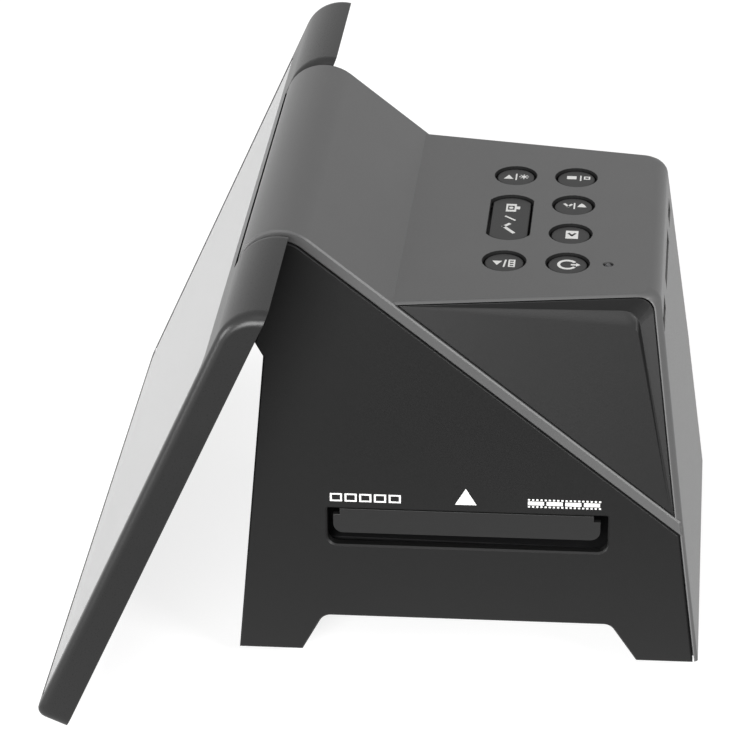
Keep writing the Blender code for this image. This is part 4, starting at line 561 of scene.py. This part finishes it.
def printed(name, solid, aim, patches, ink, proud=INK_PROUD):
    """Prints flat patches on the face of a solid that a straight line from outside meets first.
    Their corners are in millimetres from that point, first towards the rear, then across."""
    start, towards = aim
    seat, outward, _, _ = surface_of(solid).ray_cast(start, towards)
    u_axis = (BACKWARD - outward * BACKWARD.dot(outward)).normalized()
    v_axis = outward.cross(u_axis)
    shape = bmesh.new()
    for patch in patches:
        low = [shape.verts.new(seat + (u_axis * u + v_axis * v) * MM) for u, v in patch]
        high = [shape.verts.new(corner.co + outward * proud) for corner in low]
        shape.faces.new(low)
        shape.faces.new(high)
        wall(shape, low, high)
    return shown_piece(name, closed_mesh(shape, name), ink, frame["nodes"][solid]["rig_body"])


def on_key(key):
    """A point above the middle of a key and the way down to it."""
    low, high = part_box(key)
    middle = (low + high) / 2
    return Vector((middle.x, middle.y, high.z + PROBE_HEIGHT)), DOWN


white_ink = printing_ink("white_pad_printing", INK_WHITE)
black_ink = printing_ink("black_pad_printing", KEY_ABS)
SUN_U = 1.97
SUN_V = 0.4
SUN_SPOKES = 8
ROUND_STEPS = 12

sun = [disc(SUN_U, SUN_V, 0.6, ROUND_STEPS)]
for spoke in range(SUN_SPOKES):
    turn = math.tau * spoke / SUN_SPOKES
    sun += stroke([(SUN_U + 0.9 * math.cos(turn), SUN_V + 0.9 * math.sin(turn)),
                   (SUN_U + 1.1 * math.cos(turn), SUN_V + 1.1 * math.sin(turn))], 0.22)
strip = [bar(1.0, -2.1, 1.38, 1.5), bar(2.24, -2.1, 2.62, 1.5)]
strip += [bar(1.38, v - 0.2, 2.24, v + 0.2) for v in (-1.9, -0.83, 0.23, 1.3)]
camera_icon = [bar(-1.35, 3.9, 1.15, 4.75), bar(-1.35, 7.0, 1.15, 7.85),
               bar(-1.35, 4.75, -0.9, 7.0), bar(0.7, 4.75, 1.15, 7.0),
               bar(1.15, 5.2, 2.05, 6.6), disc(-0.1, 5.88, 0.52, ROUND_STEPS)]
pictograms = {
    "key_up": [[(-2.93, -0.9), (-0.63, -0.9), (-1.78, 1.2)], bar(-0.1, -1.5, 0.28, 1.9)] + sun,
    "key_edit": [bar(-2.35, 0.0, 0.0, 1.6), bar(0.87, -0.8, 1.23, 2.0)] + ring(
        2.6, 0.8, 1.1, 0.5, 45, 405, 4),
    "key_adjust": stroke([(-2.15, 1.3), (-1.25, 0.1), (-0.6, 1.1)], 0.6) + [
        bar(0.0, -1.1, 0.38, 2.0),
        [(0.9, 0.0), (3.1, 0.0), (2.6, 1.1), (1.95, 1.9), (1.4, 1.2)]],
    "key_save": [bar(-1.2, -1.7, 1.8, 2.3)],
    "key_power": ring(-0.05, 0.1, 2.4, 0.72, 34, 326, 28) + [
        bar(0.75, -0.2, 2.0, 0.4), [(2.0, -0.75), (3.0, 0.1), (2.0, 0.95)]],
    "key_down": [[(-2.8, 0.75), (-1.66, -1.35), (-0.5, 0.75)]] + stroke(
        [(0.0, -2.0), (0.35, 1.2)], 0.42) + strip,
    "key_capture": camera_icon + stroke([(-1.1, 1.25), (1.1, -0.6)], 0.5)
    + stroke([(-0.1, -2.7), (-1.3, -4.1), (1.1, -7.1)], 0.8),
}
for key, patches in pictograms.items():
    printed(key.replace("key_", "pictogram_"), key, on_key(key), patches, white_ink)
printed("pictogram_save_mark", "key_save", on_key("key_save"),
        stroke([(-0.4, 0.8), (0.3, -0.2), (1.0, 0.8)], 0.55), black_ink, 2 * INK_PROUD)


# Marks beside the film slot: an arrowhead over its middle, with a row of slide frames in front of it
# and a film strip behind it, which show which holder goes in there. They are pad printed as well.

MARK_HEIGHT = 45.6 * MM
ARROW_Y = 21.0 * MM
ARROW_LIFT = 1.2 * MM
SLIDES_Y = -2.9 * MM
FILM_Y = 44.3 * MM
BESIDE_CASE = 0.1
INWARD = Vector((-1, 0, 0))
SLIDE_COUNT = 5
SLIDE_PITCH = 3.5
SLIDE_WIDTH = 2.9
SLIDE_START = -8.4
SLIDE_SIDE = 0.45
SLIDE_RAIL = 0.7
SLIDE_EDGE = 1.1
FRAME_COUNT = 4
FRAME_PITCH = 4.4
FRAME_WIDTH = 3.8
FRAME_HALF_HEIGHT = 0.5
FILM_START = -8.6
HOLE_COUNT = 18
HOLE_PITCH = 0.985
HOLE_WIDTH = 0.5
HOLE_LOW = 0.72
HOLE_HIGH = 1.15


def on_side(y, z):
    """A point beside the right side wall and the way in to it."""
    return Vector((BESIDE_CASE, y, z)), INWARD


slides = []
for step in range(SLIDE_COUNT):
    left = SLIDE_START + SLIDE_PITCH * step
    right = left + SLIDE_WIDTH
    slides += [bar(left, -SLIDE_EDGE, right, -SLIDE_RAIL), bar(left, SLIDE_RAIL, right, SLIDE_EDGE),
               bar(left, -SLIDE_RAIL, left + SLIDE_SIDE, SLIDE_RAIL),
               bar(right - SLIDE_SIDE, -SLIDE_RAIL, right, SLIDE_RAIL)]
film = []
for step in range(FRAME_COUNT):
    left = FILM_START + FRAME_PITCH * step
    film.append(bar(left, -FRAME_HALF_HEIGHT, left + FRAME_WIDTH, FRAME_HALF_HEIGHT))
for step in range(HOLE_COUNT):
    left = FILM_START + HOLE_PITCH * step
    right = left + HOLE_WIDTH
    film += [bar(left, HOLE_LOW, right, HOLE_HIGH), bar(left, -HOLE_HIGH, right, -HOLE_LOW)]
arrow = [[(-2.55, -2.2), (2.55, -2.2), (0.0, 2.2)]]
for name, y, lift, patches in (("arrow_mark", ARROW_Y, ARROW_LIFT, arrow),
                               ("slide_mark", SLIDES_Y, 0, slides),
                               ("film_mark", FILM_Y, 0, film)):
    printed(name, "lower_case", on_side(y, MARK_HEIGHT + lift), patches, white_ink)


# Screws, hinge parts and flap pin: turned and pressed steel with a coat of bright zinc.
# Plating keeps fine rolling lines and small differences in gloss.

ZINC = "#b4b6ba"
ZINC_LINE = 0.08 * MM
LINE_STRETCH_SHARE = 0.05
BRIGHTER_LINES = 0.08
DULLER_LINES = 0.12


def plated_metal(name, colour, roughness, line_size):
    """Plated sheet or turned metal: bright, with fine lines along one way and uneven gloss."""
    material, tree, shader, where = new_material(name)
    shader.inputs["Base Color"].default_value = linear(colour)
    shader.inputs["Metallic"].default_value = 1.0
    drawn = node(tree, "ShaderNodeMapping", {"Scale": (LINE_STRETCH_SHARE, 1.0, 1.0)}, {
        "Vector": where})
    lines = node(tree, "ShaderNodeTexNoise", {"Scale": 1 / line_size, "Detail": 3.0},
                 {"Vector": drawn.outputs[0]})
    sheen = node(tree, "ShaderNodeMapRange", {
        "To Min": roughness - BRIGHTER_LINES, "To Max": roughness + DULLER_LINES},
        {"Value": lines.outputs["Fac"]})
    bump = node(tree, "ShaderNodeBump", {"Strength": 0.08, "Distance": line_size},
                {"Height": lines.outputs["Fac"]})
    tree.links.new(sheen.outputs[0], shader.inputs["Roughness"])
    tree.links.new(bump.outputs[0], shader.inputs["Normal"])
    return material


zinc = plated_metal("zinc_plated_steel", ZINC, 0.34, ZINC_LINE)
for number in range(1, 5):
    smooth_copy("case_screw_%d" % number, "cover_screw_%d" % number, zinc, edge=0)
for side in ("left", "right"):
    smooth_copy("hinge_bracket_" + side, "bearing_" + side, zinc, edge=0)
    smooth_copy("hinge_shaft_" + side, "torque_shaft_" + side, zinc, edge=0)
smooth_copy("flap_pin", "flap_axle", zinc, edge=0)


# Sockets in the rear wall: pressed nickel-plated shells, each around a row of gold-flashed contacts.
# The memory card slot has nine contacts, the data socket five and the video socket three.

NICKEL = "#c8c4bb"
NICKEL_LINE = 0.05 * MM
GOLD = "#d8b060"
GOLD_LINE = 0.03 * MM
CONTACTS = {"usb_socket": 5, "card_socket": 9, "video_socket": 3}
CONTACT_SPAN_SHARE = 0.8
CONTACT_WIDTH_SHARE = 0.5
CONTACT_LENGTH_SHARE = 0.5
CONTACT_HEIGHT = 0.12 * MM
CONTACT_DROP = 0.35 * MM

# One node group sets a box on every point of a line and gives the boxes their finish.
row_group = bpy.data.node_groups.new("row_of_boxes", "GeometryNodeTree")
row_sockets = {}
for name, kind in (("Count", "NodeSocketInt"), ("Start", "NodeSocketVector"),
                   ("Step", "NodeSocketVector"), ("Size", "NodeSocketVector"),
                   ("Finish", "NodeSocketMaterial")):
    row_sockets[name] = row_group.interface.new_socket(name, in_out="INPUT", socket_type=kind).identifier
row_group.interface.new_socket("Geometry", in_out="OUTPUT", socket_type="NodeSocketGeometry")
given = node(row_group, "NodeGroupInput")
line = node(row_group, "GeometryNodeMeshLine", {"mode": "OFFSET"}, {
    "Count": given.outputs["Count"], "Start Location": given.outputs["Start"],
    "Offset": given.outputs["Step"]})
cube = node(row_group, "GeometryNodeMeshCube", {}, {"Size": given.outputs["Size"]})
placed = node(row_group, "GeometryNodeInstanceOnPoints", {}, {
    "Points": line.outputs["Mesh"], "Instance": cube.outputs["Mesh"]})
real = node(row_group, "GeometryNodeRealizeInstances", {}, {"Geometry": placed.outputs["Instances"]})
coated = node(row_group, "GeometryNodeSetMaterial", {}, {
    "Geometry": real.outputs["Geometry"], "Material": given.outputs["Finish"]})
node(row_group, "NodeGroupOutput", {}, {"Geometry": coated.outputs["Geometry"]})


def row_of_boxes(name, count, start, step, size, material, body):
    """A row of equal boxes made by the node group and kept as plain mesh."""
    carrier = bpy.data.objects.new(name + "_source", bpy.data.meshes.new(name + "_source"))
    bpy.context.scene.collection.objects.link(carrier)
    maker = carrier.modifiers.new("row", "NODES")
    maker.node_group = row_group
    for socket, value in (("Count", count), ("Start", start), ("Step", step), ("Size", size),
                          ("Finish", material)):
        maker[row_sockets[socket]] = value
    graph = bpy.context.evaluated_depsgraph_get()
    graph.update()
    mesh = bpy.data.meshes.new_from_object(carrier.evaluated_get(graph), depsgraph=graph)
    mesh.name = name
    carrier.modifiers.remove(maker)
    bpy.data.objects.remove(carrier)
    return shown_piece(name, mesh, material, body)


nickel = plated_metal("nickel_plated_shell", NICKEL, 0.24, NICKEL_LINE)
gold = plated_metal("gold_flashed_contact", GOLD, 0.22, GOLD_LINE)
for socket, contacts in CONTACTS.items():
    dress(socket, nickel)
    low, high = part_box(socket)
    middle = (low + high) / 2
    span = (high.x - low.x) * CONTACT_SPAN_SHARE
    pitch = span / contacts
    first = (middle.x - span / 2 + pitch / 2, middle.y, middle.z - CONTACT_DROP)
    size = (pitch * CONTACT_WIDTH_SHARE, (high.y - low.y) * CONTACT_LENGTH_SHARE, CONTACT_HEIGHT)
    row_of_boxes(socket + "_contacts", contacts, first, (pitch, 0, 0), size, gold,
                 frame["nodes"][socket]["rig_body"])


# Boards: green glass-fibre boards with solder mask over copper tracks.
# The tracks show as slightly lighter, raised lines under the mask.

SOLDER_MASK = "#1d5a33"
TRACK_GREEN = "#2f7a48"
TRACK_FIELD = 5.556 * MM
TRACK_RISE = 0.05 * MM


def solder_mask(name, mask, track):
    """Green lacquer over a maze of copper tracks, glossy and slightly raised along them."""
    material, tree, shader, where = new_material(name)
    maze = node(tree, "ShaderNodeTexBrick", {
        "offset": 0.37, "offset_frequency": 3, "squash": 0.6, "squash_frequency": 2,
        "Scale": 1 / TRACK_FIELD,
        "Color1": linear(mask), "Color2": linear(mask), "Mortar": linear(track),
        "Mortar Size": 0.03, "Brick Width": 0.7, "Row Height": 0.22}, {"Vector": where})
    bump = node(tree, "ShaderNodeBump", {"Strength": 0.3, "Distance": TRACK_RISE},
                {"Height": maze.outputs["Fac"]})
    tree.links.new(maze.outputs["Color"], shader.inputs["Base Color"])
    tree.links.new(bump.outputs[0], shader.inputs["Normal"])
    shader.inputs["Roughness"].default_value = 0.28
    return material


board_green = solder_mask("solder_mask_over_copper", SOLDER_MASK, TRACK_GREEN)
for board in ("main_board", "sensor_board", "light_board", "display_board"):
    dress(board, board_green)


# Film gate, light box and camera tower: black and white mouldings hidden in the case.
# The gate and the tower are matt black against stray light, and the light box is white inside.

GATE_BLACK = "#141415"
GATE_GRAIN = 0.5 * MM
REFLECTOR_WHITE = "#e6e6e0"
REFLECTOR_GRAIN = 0.4 * MM

gate_abs = moulded_plastic("matt_black_gate_plastic", GATE_BLACK, 0.7, GATE_GRAIN, 0.1)
box_white = moulded_plastic("white_reflector_plastic", REFLECTOR_WHITE, 0.5, REFLECTOR_GRAIN, 0.03, 0.02)
for solid in ("gate_floor", "gate_roof", "camera_tower"):
    dress(solid, gate_abs)
dress("light_box", box_white)


# Lens, diffuser and light pipe: the parts that light passes through.
# The barrel is turned aluminium, and the diffuser and the light pipe are cast acrylic.

BARREL_BLACK = "#1a1a1c"
RING_PITCH = 0.349 * MM
RING_DEPTH = 0.1 * MM
WAVE_PERIOD = math.tau / 20
OPAL = "#f0f0ec"
OPAL_SPREAD = 1.0 * MM
SMOKE = "#3c3c3e"
SMOKE_SPREAD = 0.4 * MM
CLOUD_SIZE = 4 * MM
CLOUD_SHARE = 0.94


def ringed_barrel(name, colour):
    """Black anodised aluminium: dull and dark, with turned rings that catch the light in bands."""
    material, tree, shader, where = new_material(name)
    shader.inputs["Base Color"].default_value = linear(colour)
    shader.inputs["Metallic"].default_value = 0.6
    shader.inputs["Roughness"].default_value = 0.45
    rings = node(tree, "ShaderNodeTexWave", {
        "bands_direction": "Z", "wave_profile": "SAW", "Scale": WAVE_PERIOD / RING_PITCH},
        {"Vector": where})
    bump = node(tree, "ShaderNodeBump", {"Strength": 0.5, "Distance": RING_DEPTH},
                {"Height": rings.outputs["Fac"]})
    tree.links.new(bump.outputs[0], shader.inputs["Normal"])
    return material


def milky_acrylic(name, colour, spread):
    """Cast opal acrylic: light enters, spreads inside and leaves evenly, with faint clouding."""
    material, tree, shader, where = new_material(name)
    shader.inputs["Subsurface Weight"].default_value = 0.8
    shader.inputs["Subsurface Radius"].default_value = (spread, spread, spread)
    shader.inputs["Roughness"].default_value = 0.3
    cloud = node(tree, "ShaderNodeTexNoise", {"Scale": 1 / CLOUD_SIZE, "Detail": 3.0},
                 {"Vector": where})
    base = Vector(linear(colour)[:3])
    tone = node(tree, "ShaderNodeMix", {
        "data_type": "RGBA", 6: (*(base * CLOUD_SHARE), 1), 7: (*base, 1)},
        {0: cloud.outputs["Fac"]})
    tree.links.new(tone.outputs[2], shader.inputs["Base Color"])
    return material


smooth_copy("lens_barrel", "lens_tube", ringed_barrel("black_anodised_rings", BARREL_BLACK),
            edge=0)
dress("diffuser", milky_acrylic("opal_cast_acrylic", OPAL, OPAL_SPREAD))
smooth_copy("status_light", "light_pipe", milky_acrylic("smoked_acrylic", SMOKE, SMOKE_SPREAD),
            edge=0)


# Feet: four discs of soft black rubber, one near each corner of the underside.
# Each is glued into a shallow dish in the bottom cover and stands proud of it.

RUBBER_BLACK = "#151515"
RUBBER_GRAIN = 0.5 * MM

rubber = moulded_plastic("soft_black_rubber", RUBBER_BLACK, 0.85, RUBBER_GRAIN, 0.1)
for corner in ("front_left", "front_right", "rear_left", "rear_right"):
    smooth_copy("foot_" + corner, "rubber_pad_" + corner, rubber)
